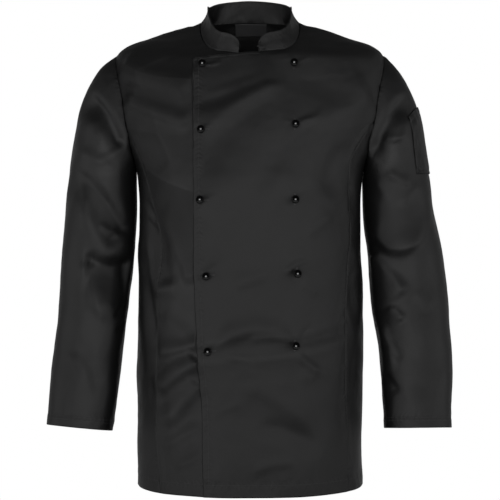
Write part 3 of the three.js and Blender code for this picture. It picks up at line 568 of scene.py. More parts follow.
def fold_height(point, out, folds):
    """Height of the cloth over its smooth form, where it faces the side that a fold is on."""
    height = np.zeros(point.shape[:-1])
    for side, x0, z0, x1, z1, bend, above, below, rise, *fades in folds:
        dx, dz = x1 - x0, z1 - z0
        length = math.hypot(dx, dz)
        px, pz = point[..., 0] - x0, point[..., 2] - z0
        along = np.clip((px * dx + pz * dz) / length**2, 0, 1)
        off = (pz * dx - px * dz) / length - bend * 4 * along * (1 - along)
        first, last = fades or (FOLD_FADE, FOLD_FADE)
        fade = smoothstep(along, 0, first) * smoothstep(1 - along, 0, last)
        facing = smoothstep(side * out[..., 1], *FACING)
        height += rise * fade * facing * np.exp(-((off / np.where(off > 0, above, below)) ** 2))
    return height


# %% [markdown]
# Cloth is never quite smooth: it waves a little everywhere. A sum of slanting waves of one
# length, with seeded directions, gives the same gentle unevenness in every run, and because
# it is read in space it runs on from one panel to the next. It is calm where a sleeve lies
# against the trunk.

# %% Gentle unevenness
WAVES = [(0.9, 95, 11), (0.27, 42, 12), (0.06, 17, 13)]  # height, length, seed
UNDERARM_X, UNDERARM_TOP, UNDERARM_END, UNDERARM_REACH = 185, -215, -370, 30


def ripple(point, wavelength, seed, waves=14):
    rng = np.random.default_rng(seed)
    way = unit(rng.normal(size=(waves, 3)))
    pace = 2 * math.pi / (wavelength * rng.uniform(0.75, 1.4, waves))
    phase = rng.uniform(0, 2 * math.pi, waves)
    total = sum(np.sin(point @ way[k] * pace[k] + phase[k]) for k in range(waves))
    return total * math.sqrt(2 / waves)


def calm_under_arm(point):
    """0 where the sleeve lies against the trunk, and 1 away from there."""
    near = np.exp(-(((np.abs(point[..., 0]) - UNDERARM_X) / UNDERARM_REACH) ** 2))
    above_end = smoothstep(point[..., 2], UNDERARM_END, UNDERARM_END + UNDERARM_REACH)
    below_top = smoothstep(-point[..., 2], -UNDERARM_TOP - UNDERARM_REACH, -UNDERARM_TOP)
    return 1 - near * above_end * below_top


def uneven(point):
    waves = sum(height * ripple(point, wavelength, seed) for height, wavelength, seed in WAVES)
    return waves * calm_under_arm(point)


# %% [markdown]
# Every edge of a panel is finished in its own way. A seam draws the cloth down into a narrow
# valley and puckers it. A hem, a cuff and the lap's edge are turned in, so the cloth is
# thicker there, with a line of stitching where the turning ends.

# %% Panels with their edges
CLOTH, TURNED_CLOTH = 1.3, 0.9
SEAM_DRAW, SEAM_WIDTH = 0.22, 1.2
PUCKER_REACH, SETTLED_BY = 8, 16
SEAM_PUCKER, TURNED_PUCKER, TURNED_RISE = 0.3, 0.25, 0.35
TURNING_ENDS, TURNING_GROOVE = (-0.8, 1.5), 1.4  # from the line of stitching, and its width
TURNED = {"hem": 20, "cuff": 17, "lap": 10, "band": 5, "under": 12, "patch": 6}
FAR = 1000


class Panel:
    """A grid of cloth, with the finish of its edges: left, right, bottom and top.

    A top edge that changes on its way is given as first finish, second finish, place.
    """

    def __init__(self, name, point, out, edges, is_round=False, is_laid=False):
        self.name, self.edges, self.is_round = name, edges, is_round
        self.point, self.out = point, out
        row, column = self.lengths(1), self.lengths(0)
        self.away = {
            "left": row, "right": row[:, -1:] - row, "bottom": column, "top": column[-1:] - column,
        }
        self.thickness = np.full(row.shape, CLOTH)
        self.sewn, self.beside = np.full(row.shape, float(FAR)), np.zeros(row.shape)
        self.sew(np.zeros(row.shape) if is_laid else uneven(point))

    def lengths(self, axis):
        step = np.linalg.norm(np.diff(self.point, axis=axis), axis=2)
        start = np.zeros_like(np.take(step, [0], axis))
        return np.concatenate([start, np.cumsum(step, axis=axis)], axis=axis)

    def finishes(self):
        """Each edge with a finish, and the share of it that holds in each column."""
        place = np.linspace(0, 1, self.point.shape[1])[None, :]
        for edge, given in self.edges.items():
            if isinstance(given, str):
                yield edge, given, np.ones_like(place)
            else:
                first, second, change = given
                after = (place > change).astype(float)
                yield edge, first, 1 - after
                yield edge, second, after

    def free(self, edge):
        """1 where an edge hangs free, and 0 where it is sewn to its neighbour."""
        found = [share * (finish != "seam") for at, finish, share in self.finishes() if at == edge]
        return sum(found) if found else np.zeros((1, 1))

    def sew(self, height):
        pucker = ripple(self.point, 13, 21)
        for edge, finish, share in self.finishes():
            if finish == "seam":
                height = height * lerp(1, smoothstep(self.away[edge], 0, SETTLED_BY), share)
        for edge, finish, share in self.finishes():
            away, turned = self.away[edge], TURNED.get(finish, 0)
            if finish == "seam":
                height = height - share * SEAM_DRAW * np.exp(-((away / SEAM_WIDTH) ** 2))
                height += share * SEAM_PUCKER * pucker * np.exp(-away / PUCKER_REACH)
            else:
                inside = share * (1 - smoothstep(away, *(turned + end for end in TURNING_ENDS)))
                self.thickness += TURNED_CLOTH * inside
                height = height + TURNED_RISE * inside
                height -= share * TURNED_RISE * np.exp(-(((away - turned) / TURNING_GROOVE) ** 2))
                height += share * TURNED_PUCKER * pucker * np.exp(-np.abs(away - turned) / PUCKER_REACH)
            line = np.abs(away - turned) + FAR * (1 - share)
            along = self.lengths(0 if edge in ("left", "right") else 1)
            nearer = line < self.sewn
            self.sewn = np.where(nearer, line, self.sewn)
            self.beside = np.where(nearer, along, self.beside)
        self.point = self.point + self.out * height[..., None]
        self.out = self.facing()

    def facing(self):
        if self.is_round:
            around = np.roll(self.point, -1, 1) - np.roll(self.point, 1, 1)
        else:
            around = np.gradient(self.point, axis=1)
        out = unit(np.cross(around, np.gradient(self.point, axis=0)))
        return out * np.sign((out * self.out).sum(-1, keepdims=True))

    def line(self, edge, distance):
        """Points and directions of the cloth at one distance from an edge."""
        away, point, out = self.away[edge], self.point, self.out
        if edge in ("bottom", "top"):
            away, point, out = away.T, point.swapaxes(0, 1), out.swapaxes(0, 1)
        if edge in ("right", "top"):
            away, point, out = away[:, ::-1], point[:, ::-1], out[:, ::-1]
        found = [np.searchsorted(row, distance) for row in away]
        found = np.clip(found, 1, away.shape[1] - 1)
        each = np.arange(len(away))
        start, end = away[each, found - 1], away[each, found]
        share = ((distance - start) / np.maximum(end - start, 1e-6))[:, None]
        line = [lerp(values[each, found - 1], values[each, found], share) for values in (point, out)]
        return line[0], unit(line[1])

    def size(self):
        """Widest row, longest column and area of the cloth, in metres."""
        a, b, c, d = self.point[:-1, :-1], self.point[:-1, 1:], self.point[1:, 1:], self.point[1:, :-1]
        area = np.linalg.norm(np.cross(c - a, d - b), axis=-1).sum() / 2
        return self.lengths(1).max() * MM, self.lengths(0).max() * MM, area * MM * MM


def torso_cloth(grid, sink=0.0, fold_share=1.0):
    angle, z = grid[..., 0], grid[..., 1]
    point, out = torso_point(angle, z), outward(torso_point, angle, z)
    height = fold_share * fold_height(point, out, FOLDS + CREASES) - sink
    return point + out * np.asarray(height)[..., None], out


# %% [markdown]
# The inner front dips under the lap, so that the two layers keep clear of each other, and
# comes back to the neckline where the collar is sewn to both.

# %% The inner front's dip
LAP_CLEARS = 2.7
LAP_DIP_FROM, LAP_DIP_TO, NECK_FROM, NECK_TO = -130, -93, -57, -30
FLAT_FROM, FLAT_TO, FLAT_BELOW, FLAT_FULL_BELOW, FLAT_DEPTH = -75, -45, -70, -100, 4.2


def under_lap(grid):
    x, z = torso_point(grid[..., 0], grid[..., 1])[..., 0], grid[..., 1]
    dip = smoothstep(x, LAP_DIP_FROM, LAP_DIP_TO) * (1 - smoothstep(z, NECK_FROM, NECK_TO))
    flat = smoothstep(x, FLAT_FROM, FLAT_TO) * smoothstep(-z, -FLAT_BELOW, -FLAT_FULL_BELOW)
    return torso_cloth(grid, LAP_CLEARS * dip + FLAT_DEPTH * flat, 1 - flat)


# %% The panels of the trunk
panels = {}


def add_panel(name, cloth, edges, is_round=False):
    panels[name] = Panel(name, *cloth, edges, is_round)
    width, length, area = panels[name].size()
    print(f"{name}: {width:.3f} x {length:.3f} m, {area:.3f} m2 of cloth")


add_panel("front_left", torso_cloth(close_at_edges(front_left_places())),
          {"left": "lap", "right": "seam", "bottom": "hem",
           "top": ("band", "seam", LAP_TOP_SHARE)})
add_panel("front_right", under_lap(close_at_edges(front_right_places())),
          {"left": "seam", "right": "under", "bottom": "hem",
           "top": ("seam", "band", UNDER_TOP_SHARE)})
for side, name in ((1, "side_panel_left"), (-1, "side_panel_right")):
    add_panel(name, torso_cloth(close_at_edges(side_panel_places(side))),
              {"left": "seam", "right": "seam", "bottom": "hem"})
add_panel("back", torso_cloth(close_at_edges(back_places())),
          {"left": "seam", "right": "seam", "bottom": "hem", "top": "seam"})

# %% The sleeves
for side, name in ((1, "sleeve_left"), (-1, "sleeve_right")):
    point, out, settled = sleeve_grid(side)
    cloth = point + out * (settled * fold_height(point, out, FOLDS + CREASES))[..., None], out
    add_panel(name, cloth, {"bottom": "seam", "top": "cuff"}, is_round=True)

# %% [markdown]
# The collar is a band cut double, lower in front than behind, with rounded ends. It stands
# on the neckline, narrows towards its top edge and dips a little at the sides.

# %% The collar
COLLAR_HEIGHT, COLLAR_FRONT_HEIGHT, COLLAR_END_HEIGHT, COLLAR_CORNER = 38, 31, 13, 28
COLLAR_NARROWING, COLLAR_LEAN, COLLAR_LEAN_BEHIND = 0.85, 0.95, 1.06
COLLAR_GROWS = (-80, 40)
COLLAR_INSET, COLLAR_TUCK = 0.5, 0.9
COLLAR_SIDE_DIP, COLLAR_DIP_PLACE, COLLAR_DIP_WIDTH = 9, 0.1, 0.4


def collar_cloth():
    foot = chain(
        under_lap(front_neck(-1, RIGHT_COLLAR_END)[::-1])[0],
        torso_cloth(back_neck()[::-1])[0],
        torso_cloth(front_neck(1, LAP_TOP[-1][0]))[0],
    )
    length = along_line(foot)
    from_end = np.minimum(length, length[-1] - length)
    rounding = np.sqrt(1 - (1 - np.minimum(from_end / COLLAR_CORNER, 1)) ** 2)
    behind = smoothstep(foot[:, 1], *COLLAR_GROWS)
    outwards = unit(foot * [1, 1, 0])
    dip = np.exp(-(((outwards[:, 1] - COLLAR_DIP_PLACE) / COLLAR_DIP_WIDTH) ** 2))
    full = lerp(COLLAR_FRONT_HEIGHT, COLLAR_HEIGHT, behind) - COLLAR_SIDE_DIP * dip
    v = more_lines(np.linspace(0, 1, COLLAR_ROWS + 1), 0)[:, None]
    height = lerp(COLLAR_END_HEIGHT, full, rounding) * v
    ease = 1 - (1 - height / full) ** 2
    point = np.stack([
        foot[:, 0] * lerp(1, COLLAR_NARROWING, ease),
        foot[:, 1] * lerp(1, lerp(COLLAR_LEAN, COLLAR_LEAN_BEHIND, behind), ease),
        foot[:, 2] + height - COLLAR_TUCK,
    ], -1) - outwards * COLLAR_INSET
    return point, np.broadcast_to(outwards, point.shape)


add_panel("collar", collar_cloth(), {"left": "band", "right": "band", "bottom": "seam", "top": "band"})

# %% [markdown]
# A cloth wall has two faces and, at each edge, a rounded rim, as where twill is turned in.
# All of it is plain mesh code: rows and columns of points, joined into quads.

# %% Turning a panel into a mesh
RIM_TURNS = (45, 90, 135)
SEWN_RIM = 0.1


def mesh_object(name, vertices, faces, finish, layers=None):
    mesh = bpy.data.meshes.new(name)
    mesh.from_pydata((np.asarray(vertices) * MM).tolist(), [], faces)
    mesh.polygons.foreach_set("use_smooth", [True] * len(mesh.polygons))
    for layer_name, corners in (layers or {}).items():
        layer = mesh.uv_layers.new(name=layer_name)
        layer.data.foreach_set("uv", (corners * MM).astype(np.float32).ravel())
    mesh.materials.append(finish)
    piece = bpy.data.objects.new(name, mesh)
    bpy.context.scene.collection.objects.link(piece)
    return piece


def cells(grid):
    return np.stack([grid[:-1, :-1], grid[:-1, 1:], grid[1:, 1:], grid[1:, :-1]], 2)


def rim_loops(number, is_round):
    """The edges of a grid as closed loops of vertex numbers."""
    if is_round:
        return [number[0], number[-1][::-1]]
    return [np.concatenate([number[0, :-1], number[:-1, -1], number[-1, :0:-1], number[:0:-1, 0]])]


def rim_ways(panel):
    """How far each edge is drawn in to make room for its rounded rim."""
    point, away = panel.point, np.zeros_like(panel.point)
    rows = {"bottom": (0, 1), "top": (-1, -2)}
    columns = {} if panel.is_round else {"left": (0, 1), "right": (-1, -2)}
    for edge, (last, before) in rows.items():
        away[last] += unit(point[last] - point[before]) * lerp(SEWN_RIM, 1, panel.free(edge)).T
    for edge, (last, before) in columns.items():
        away[:, last] += unit(point[:, last] - point[:, before]) * lerp(SEWN_RIM, 1, panel.free(edge)[:, :1])
    return away


def closed_round(values):
    """The columns of a tube, with the first one again behind the last."""
    return np.concatenate([values, values[:, :1]], 1)


def one_step_on(lengths):
    """The lengths round a tube, with one more step of them behind the last column."""
    return np.concatenate([lengths, lengths[:, -1:] + (lengths[:, -1:] - lengths[:, -2:-1])], 1)


def wall(panel, name, finish):
    """A closed wall of cloth, with half-round rims along its open edges."""
    rows, columns = panel.point.shape[:2]
    half = panel.thickness[..., None] / 2
    away = rim_ways(panel)
    middle = panel.point - (away + panel.out) * half
    number = np.arange(rows * columns).reshape(rows, columns)
    across, up, sewn, beside = panel.lengths(1), panel.lengths(0), panel.sewn, panel.beside
    wrapped = number
    if panel.is_round:
        wrapped, up, sewn = (closed_round(values) for values in (number, up, sewn))
        across, beside = one_step_on(across), one_step_on(beside)
    fields = {"cloth": np.stack([across, up], -1), "sewing": np.stack([sewn, beside], -1)}
    outer = cells(wrapped).reshape(-1, 4)
    vertices = [(middle + panel.out * half).reshape(-1, 3), (middle - panel.out * half).reshape(-1, 3)]
    faces = [outer, outer[:, ::-1] + number.size]
    layers = {}
    for key, field in fields.items():
        corners = cells(field).reshape(-1, 4, 2)
        layers[key] = [corners, corners[:, ::-1]]
    start = 2 * number.size
    flat = [values.reshape(-1, values.shape[-1]) for values in (middle, panel.out, away, half)]
    for loop in rim_loops(number, panel.is_round):
        centre, out, aside, reach = (values[loop] for values in flat)
        rings = [loop]
        for turn in np.radians(RIM_TURNS):
            vertices.append(centre + (out * math.cos(turn) + aside * math.sin(turn)) * reach)
            rings.append(np.arange(start, start + len(loop)))
            start += len(loop)
        rings.append(loop + number.size)
        closed = [np.append(ring, ring[0]) for ring in rings]
        for key, field in fields.items():
            edge = field[:, :columns].reshape(-1, 2)[np.append(loop, loop[0])]
            quad = np.stack([edge[:-1], edge[:-1], edge[1:], edge[1:]], 1)
            layers[key] += [quad] * (len(closed) - 1)
        faces += [np.stack([above[:-1], below[:-1], below[1:], above[1:]], 1)
                  for above, below in zip(closed, closed[1:])]
    faces, layers = np.concatenate(faces), {key: np.concatenate(values) for key, values in layers.items()}
    corner = panel.point[:-1, :-1]
    around, climb = panel.point[:-1, 1:] - corner, panel.point[1:, :-1] - corner
    if (np.cross(around, climb) * panel.out[:-1, :-1]).sum() < 0:
        faces, layers = faces[:, ::-1], {key: values[:, ::-1] for key, values in layers.items()}
    return mesh_object(name, np.concatenate(vertices), faces.tolist(), finish, layers)


# %% [markdown]
# Materials are written as sums. A Link wraps a node's output, so that arithmetic on it adds
# Math nodes, and one method makes every other node from its type, settings and inputs.

# %% A small language for materials
class Link:
    """An output of a node. Arithmetic on it adds Math nodes beside it."""

    def __init__(self, tree, socket):
        self.tree, self.socket = tree, socket

    def node(self, kind, settings=None, inputs=None, output=0):
        return add_node(self.tree, kind, settings, inputs, output)

    def maths(self, operation, first, second=0.0):
        return self.node("ShaderNodeMath", {"operation": operation}, {0: first, 1: second})

    def __add__(self, other):
        return self.maths("ADD", self, other)

    def __radd__(self, other):
        return self.maths("ADD", other, self)

    def __sub__(self, other):
        return self.maths("SUBTRACT", self, other)

    def __rsub__(self, other):
        return self.maths("SUBTRACT", other, self)

    def __mul__(self, other):
        return self.maths("MULTIPLY", self, other)

    def __rmul__(self, other):
        return self.maths("MULTIPLY", other, self)


def add_node(tree, kind, settings=None, inputs=None, output=0):
    node = tree.nodes.new(kind)
    for name, value in (settings or {}).items():
        setattr(node, name, value)
    for key, value in (inputs or {}).items():
        if isinstance(value, Link):
            tree.links.new(value.socket, node.inputs[key])
        else:
            node.inputs[key].default_value = value
    return Link(tree, node.outputs[output])


def new_finish(name):
    finish = bpy.data.materials.new(name)
    finish.use_nodes = True
    finish.node_tree.nodes.clear()
    return finish, finish.node_tree


def close_finish(tree, **sockets):
    inputs = {key.replace("_", " "): value for key, value in sockets.items()}
    shader = add_node(tree, "ShaderNodeBsdfPrincipled", {}, inputs)
    output = tree.nodes.new("ShaderNodeOutputMaterial")
    tree.links.new(shader.socket, output.inputs["Surface"])


# %% [markdown]
# Black twill is dark, but never even: the yarns take the dye differently, and its slanting
# ribs, less than a millimetre apart, catch the light. The ribs are a sine over the cloth's
# own lengths, so they run the same way on every panel and turn with each sleeve.

# %% The weave of the twill
RIB_EVERY, RIB_SLANT, RIB_SHARE = 0.0011, 0.7, 0.5
SLUB_SCALE, SLUB_SHARE = 420.0, 0.9
TWILL_DARK, TWILL_LIGHT = (0.0052, 0.0052, 0.0053, 1), (0.0076, 0.0076, 0.0077, 1)


def uv_lengths(tree, layer):
    """The two lengths of a cloth layer, in metres."""
    place = add_node(tree, "ShaderNodeUVMap", {"uv_map": layer})
    return [add_node(tree, "ShaderNodeSeparateXYZ", {}, {0: place}, axis) for axis in (0, 1)]


def fading(distance, near, far):
    """1 nearer than one distance and 0 beyond the other."""
    return distance.node(
        "ShaderNodeMapRange", {"interpolation_type": "SMOOTHSTEP"},
        {"Value": distance, 1: near, 2: far, 3: 1.0, 4: 0.0},
    )


def weave_height(tree, space):
    across, along = uv_lengths(tree, "cloth")
    slant = (across + along * RIB_SLANT) * (2 * math.pi / RIB_EVERY)
    slub = add_node(tree, "ShaderNodeTexNoise", {}, {"Vector": space, "Scale": SLUB_SCALE, "Detail": 3.0})
    return slant.maths("SINE", slant) * RIB_SHARE + slub * SLUB_SHARE


# %% [markdown]
# A line of sewing draws thick cloth up in short, slanting puckers, closer together than the
# mesh can show. They are a wave along the line that fades on both sides of it, with a thin
# groove where the thread lies. Each panel stores how far its cloth is from its nearest line.

# %% Puckers along the sewing
PUCKER_EVERY, PUCKER_HEIGHT, PUCKER_SLANT = 0.0072, 0.00009, 0.55
PUCKER_NEAR, PUCKER_FAR = 0.001, 0.011
GROOVE_WIDTH, GROOVE_DEPTH = 0.0012, 0.00012


def sewing_height(tree, space):
    away, along = uv_lengths(tree, "sewing")
    uneven_pull = add_node(tree, "ShaderNodeTexNoise", {}, {"Vector": space, "Scale": 38.0, "Detail": 1.0})
    turn = (along + away * PUCKER_SLANT) * (2 * math.pi / PUCKER_EVERY) + uneven_pull * 9.0
    pull = fading(away, PUCKER_NEAR, PUCKER_FAR) * uneven_pull * (2 * PUCKER_HEIGHT)
    groove = fading(away, 0.0, GROOVE_WIDTH) * GROOVE_DEPTH
    return turn.maths("SINE", turn) * pull - groove


# %% Black twill
def twill_finish():
    finish, tree = new_finish("black_twill")
    space = add_node(tree, "ShaderNodeTexCoord", {}, {}, "Object")
    dye = add_node(tree, "ShaderNodeTexNoise", {}, {"Vector": space, "Scale": 9.0, "Detail": 4.0})
    dyes = {0: dye, 6: TWILL_DARK, 7: TWILL_LIGHT}
    colour = add_node(tree, "ShaderNodeMix", {"data_type": "RGBA"}, dyes, 2)
    pulled = add_node(tree, "ShaderNodeBump", {}, {"Distance": 1.0, "Height": sewing_height(tree, space)})
    weave = {"Strength": 0.6, "Distance": 0.0002, "Height": weave_height(tree, space), "Normal": pulled}
    close_finish(tree, Base_Color=colour, Roughness=0.36 + dye * 0.08, Specular_IOR_Level=0.3,
                 Normal=add_node(tree, "ShaderNodeBump", {}, weave))
    return finish


def plain_finish(name, colour, roughness, **more):
    finish, tree = new_finish(name)
    close_finish(tree, Base_Color=(*colour, 1), Roughness=roughness, **more)
    return finish


TWILL = twill_finish()
THREAD = plain_finish("black_thread", (0.03, 0.03, 0.0305), 0.45)
GLOSS = plain_finish("gloss_black", (0.003, 0.003, 0.0031), 0.0, Specular_IOR_Level=1.0)
LABEL = plain_finish("label_tape", (0.035, 0.035, 0.036), 0.6)
print("finishes:", [finish.name for finish in bpy.data.materials if finish.users])


# %% [markdown]
# Each panel becomes one piece, which stands for its solid and rides on the one body.

# %% The cloth pieces
pieces = {}


def place_piece(piece, slot, *nodes):
    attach(piece, "root")
    if nodes:
        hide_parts(*nodes)
    pieces[piece.name] = piece


for name, panel in panels.items():
    place_piece(wall(panel, name + "_cloth", TWILL), "twill", name)
print("triangles:", sum(2 * len(piece.data.polygons) for piece in pieces.values()))

# %% [markdown]
# The pen pocket and the neck label lie on cloth that is already folded, so both are read from
# the panel below them, between its points, and lifted clear of its cloth.

# %% Reading a part of a panel
def dense(count, place):
    """Where a place on an even grid lies once lines are added next to its edges."""
    lines = more_lines(np.arange(count + 1.0), 0)
    return np.interp(place, lines, np.arange(len(lines)))


def read_cloth(values, rows, columns):
    """Values between the points of a grid, whose columns may run round a tube."""
    low_row = np.minimum(rows.astype(int), len(values) - 2)
    low_column = np.floor(columns).astype(int)
    found = []
    for row in (low_row, low_row + 1):
        line = values[row]
        left = np.take(line, low_column, 1, mode="wrap")
        right = np.take(line, low_column + 1, 1, mode="wrap")
        found.append(lerp(left, right, (columns - low_column)[None, :, None]))
    return lerp(*found, (rows - low_row)[:, None, None])


# %% The pen pocket on the sleeve
POCKET_TOP_BEHIND, POCKET_TOP_IN_FRONT = 0.5 * CAP, 0.47 * CAP
POCKET_COLUMNS = (-FINE, 4 * FINE)
POCKET_LIFT, POCKET_CELLS = 1.6, (60, 40)

sleeve = panels["sleeve_left"]
strips = []
for column in evenly(POCKET_CELLS[1], 0, 1):
    top = lerp(POCKET_TOP_BEHIND, POCKET_TOP_IN_FRONT, column)
    rows = dense(CAP, evenly(POCKET_CELLS[0], CAP, top)[1:-1])
    place = np.array([lerp(*POCKET_COLUMNS, column)])
    strips.append([read_cloth(values, rows, place)[:, 0] for values in (sleeve.point, sleeve.out)])
point, out = (np.stack(values, 1) for values in zip(*strips))
point = more_lines(more_lines(point + out * POCKET_LIFT, 0), 1)
out = unit(more_lines(more_lines(out, 0), 1))
edges = {"left": "patch", "right": "patch", "bottom": "patch", "top": "lap"}
pocket = Panel("sleeve_pocket", point, out, edges, is_laid=True)
place_piece(wall(pocket, "sleeve_pocket_cloth", TWILL), "twill", "sleeve_pocket")
print("pen pocket: {:.3f} x {:.3f} m, {:.4f} m2".format(*pocket.size()))

# %% The neck label
LABEL_DROP, LABEL_SPREAD, LABEL_CELLS, LABEL_LIFT = (1.85, 0.12), 1.45, (16, 30), 1.9
LABEL_THICK, LABEL_HALF, LABEL_OFF = 0.5, 27, -0.6

back = panels["back"]
back_rows = SIDE_SEAM + ARMHOLE_BACK + SHOULDER
rows = dense(back_rows, evenly(LABEL_CELLS[0], *(back_rows - FINE * drop for drop in LABEL_DROP)))
middle, spread_cells = BACK_NECK / 2, LABEL_SPREAD * BACK_NECK / BACK_CELLS
level = evenly(LABEL_CELLS[1], -1, 1)
strips = []
for row in rows[:, None]:
    ends = read_cloth(back.point, row, dense(BACK_NECK, middle + spread_cells * np.array([-1, 1])))
    narrowed = LABEL_HALF / (np.ptp(ends[0, :, 0]) / 2)
    columns = dense(BACK_NECK, middle + LABEL_OFF + spread_cells * narrowed * level)
    strips.append([read_cloth(values, row, columns)[0] for values in (back.point, back.out)])
point, out = (np.array(values) for values in zip(*strips))
label = Panel("neck_label", point - unit(out) * LABEL_LIFT, -unit(out), {}, is_laid=True)
label.thickness[:] = LABEL_THICK
place_piece(wall(label, "neck_label_tape", LABEL), "label", "neck_label")
print("neck label: {:.3f} x {:.3f} m, {:.4f} m2".format(*label.size()))

# %% [markdown]
# Stitches are short beads of thread that lie along a line on the cloth. The line is found on
# the finished panel, at a distance from one of its edges, so it follows every fold.

# %% Stitches
STITCH, STITCH_EVERY, STITCH_WIDE, STITCH_HIGH = 2.5, 3.3, 0.36, 0.3
STITCH_SHAPE = ((0.0, 0.0), (0.2, 1.0), (0.8, 1.0), (1.0, 0.0))  # place on the bead, share of its width


def read_line(values, along, place):
    return np.stack([np.interp(place, along, values[:, axis]) for axis in range(3)], -1)


def stitch_row(points, outs):
    """Vertices and faces of the stitches along a line."""
    along = along_line(points)
    centres = np.arange(STITCH_EVERY, along[-1] - STITCH_EVERY, STITCH_EVERY)
    start, end = (read_line(points, along, centres + STITCH * share) for share in (-0.5, 0.5))
    out = unit(read_line(outs, along, centres))
    aside = unit(np.cross(end - start, out))
    ways = (aside * STITCH_WIDE, out * STITCH_HIGH, -aside * STITCH_WIDE, -out * STITCH_HIGH)
    rings = [lerp(start, end, place) + way * width for place, width in STITCH_SHAPE for way in ways]
    vertices = np.stack(rings, 1)
    faces = [(4 * k + i, 4 * k + (i + 1) % 4, 4 * k + 4 + (i + 1) % 4, 4 * k + 4 + i)
             for k in range(3) for i in range(4)]
    offsets = np.arange(len(centres)) * vertices.shape[1]
    return vertices.reshape(-1, 3), (np.array(faces)[None] + offsets[:, None, None]).reshape(-1, 4)


def stitching(name, *lines):
    """One piece for all the stitches of a seam. Each line is a panel, an edge, a distance from
    the edge and the two shares of its length between which it runs."""
    vertices, faces, count = [], [], 0
    for panel, edge, distance, first, last in lines:
        points, outs = panel.line(edge, distance)
        if panel.is_round:
            points, outs = (np.concatenate([values, values[:1]]) for values in (points, outs))
        low, high = round(first * (len(points) - 1)), round(last * (len(points) - 1))
        more, quads = stitch_row(points[low:high + 1], outs[low:high + 1])
        vertices.append(more)
        faces.append(quads + count)
        count += len(more)
    piece = mesh_object(name, np.concatenate(vertices), np.concatenate(faces).tolist(), THREAD)
    print(f"{name}: {count // 16} stitches")
    place_piece(piece, "twill")


# %% The sewing of the jacket
lap, inner, collar = (panels[name] for name in ("front_left", "front_right", "collar"))
EDGE_LINE, COLLAR_LINE, COLLAR_FOOT_LINE, CUFF_SECOND_LINE = 2, 3, 2.5, 12
HEM_LINE, CUFF_LINE, LAP_LINE, LAP_TOP_LINE = (TURNED[key] for key in ("hem", "cuff", "lap", "band"))

stitching("lap_stitching", (lap, "left", LAP_LINE, 0.03, 0.99),
          (lap, "top", LAP_TOP_LINE, 0.01, LAP_TOP_SHARE))
stitching("collar_stitching",
          (collar, "left", COLLAR_LINE, 0.05, 0.9), (collar, "right", COLLAR_LINE, 0.05, 0.9),
          (collar, "top", COLLAR_LINE, 0.01, 0.99), (collar, "bottom", COLLAR_FOOT_LINE, 0.02, 0.98))
for side, name in ((1, "left"), (-1, "right")):
    sleeve, panel = panels["sleeve_" + name], panels["side_panel_" + name]
    stitching(f"cuff_{name}_stitching", (sleeve, "top", CUFF_LINE, 0, 1),
              (sleeve, "top", CUFF_SECOND_LINE, 0, 1))
    stitching(f"side_hem_{name}_stitching", (panel, "bottom", HEM_LINE, 0.01, 0.99))
stitching("front_hem_stitching", (lap, "bottom", HEM_LINE, 0.02, 0.99),
          (inner, "bottom", HEM_LINE, 0.01, 0.99))
stitching("back_hem_stitching", (back, "bottom", HEM_LINE, 0.01, 0.99))
stitching("shaping_seam_right_stitching", (inner, "left", EDGE_LINE, 0.02, 0.62))
stitching("pocket_stitching",
          (pocket, "left", EDGE_LINE, 0.02, 0.98), (pocket, "right", EDGE_LINE, 0.02, 0.98),
          (pocket, "bottom", EDGE_LINE, 0.04, 0.96), (pocket, "top", LAP_LINE, 0.04, 0.96))

# %% [markdown]
# Ball studs push through worked buttonholes in both fronts. Each is a turned ball on a short
# neck, seated square to the cloth where it stands.

# %% Ball studs
STUD_BALL, STUD_NECK, STUD_NECK_HEIGHT = 6.6, 2.2, 1.2
STUD_ARCS, STUD_SIDES, STUD_LIFT = 14, 28, 0.1


def cloth_at(panel, x, z):
    """The point of a panel straight behind (x, z), and the way that it faces."""
    off = (panel.point[..., 0] - x) ** 2 + (panel.point[..., 2] - z) ** 2
    i, j = np.unravel_index(np.argmin(off), off.shape)
    near, out = panel.point[i, j], panel.out[i, j]
    y = near[1] + ((near[0] - x) * out[0] + (near[2] - z) * out[2]) / out[1]
    return np.array([x, y, z]), out


def square_ways(out):
    """Two directions along the cloth, level and upwards."""
    level = unit(np.cross(np.array([0.0, 0.0, 1.0]), out))
    return level, np.cross(out, level)


def turned(profile, sides, seat, out):
    """A solid of revolution from rows of (radius, height), its ends closed on the axis."""
    level, up = square_ways(out)
    turn = np.arange(sides) * 2 * math.pi / sides
    ring = np.cos(turn)[:, None] * level + np.sin(turn)[:, None] * up
    vertices = [seat + out * profile[0][1]]
    vertices += [seat + radius * way + height * out for radius, height in profile[1:-1] for way in ring]
    vertices.append(seat + out * profile[-1][1])
    last = len(vertices) - 1
    faces = [(0, 1 + (k + 1) % sides, 1 + k) for k in range(sides)]
    for row in range(len(profile) - 3):
        low = 1 + row * sides
        faces += [(low + k, low + (k + 1) % sides, low + sides + (k + 1) % sides, low + sides + k)
                  for k in range(sides)]
    low = last - sides
    faces += [(low + k, low + (k + 1) % sides, last) for k in range(sides)]
    return vertices, faces


def stud_profile():
    start = math.asin(STUD_NECK / STUD_BALL)
    centre = STUD_NECK_HEIGHT + STUD_BALL * math.cos(start)
    turns = evenly(STUD_ARCS, start, math.pi)
    arc = [(STUD_BALL * math.sin(a), centre - STUD_BALL * math.cos(a)) for a in turns]
    return [(0, 0), (STUD_NECK, 0)] + arc[:-1] + [(0, centre + STUD_BALL)]


for name, (x, z) in STUDS.items():
    seat, out = cloth_at(lap, x, z)
    vertices, faces = turned(stud_profile(), STUD_SIDES, seat + out * STUD_LIFT, out)
    place_piece(mesh_object(name + "_ball", vertices, faces, GLOSS), "stud", name)
print("studs:", len(STUDS))

# %% [markdown]
# A worked buttonhole is a slit with thread wound over its edge all round. Here it is one
# oval cord of thread on the cloth. Along the lap's edge the slits lie level, and in the
# other row, where the studs only close the look, they stand upright.

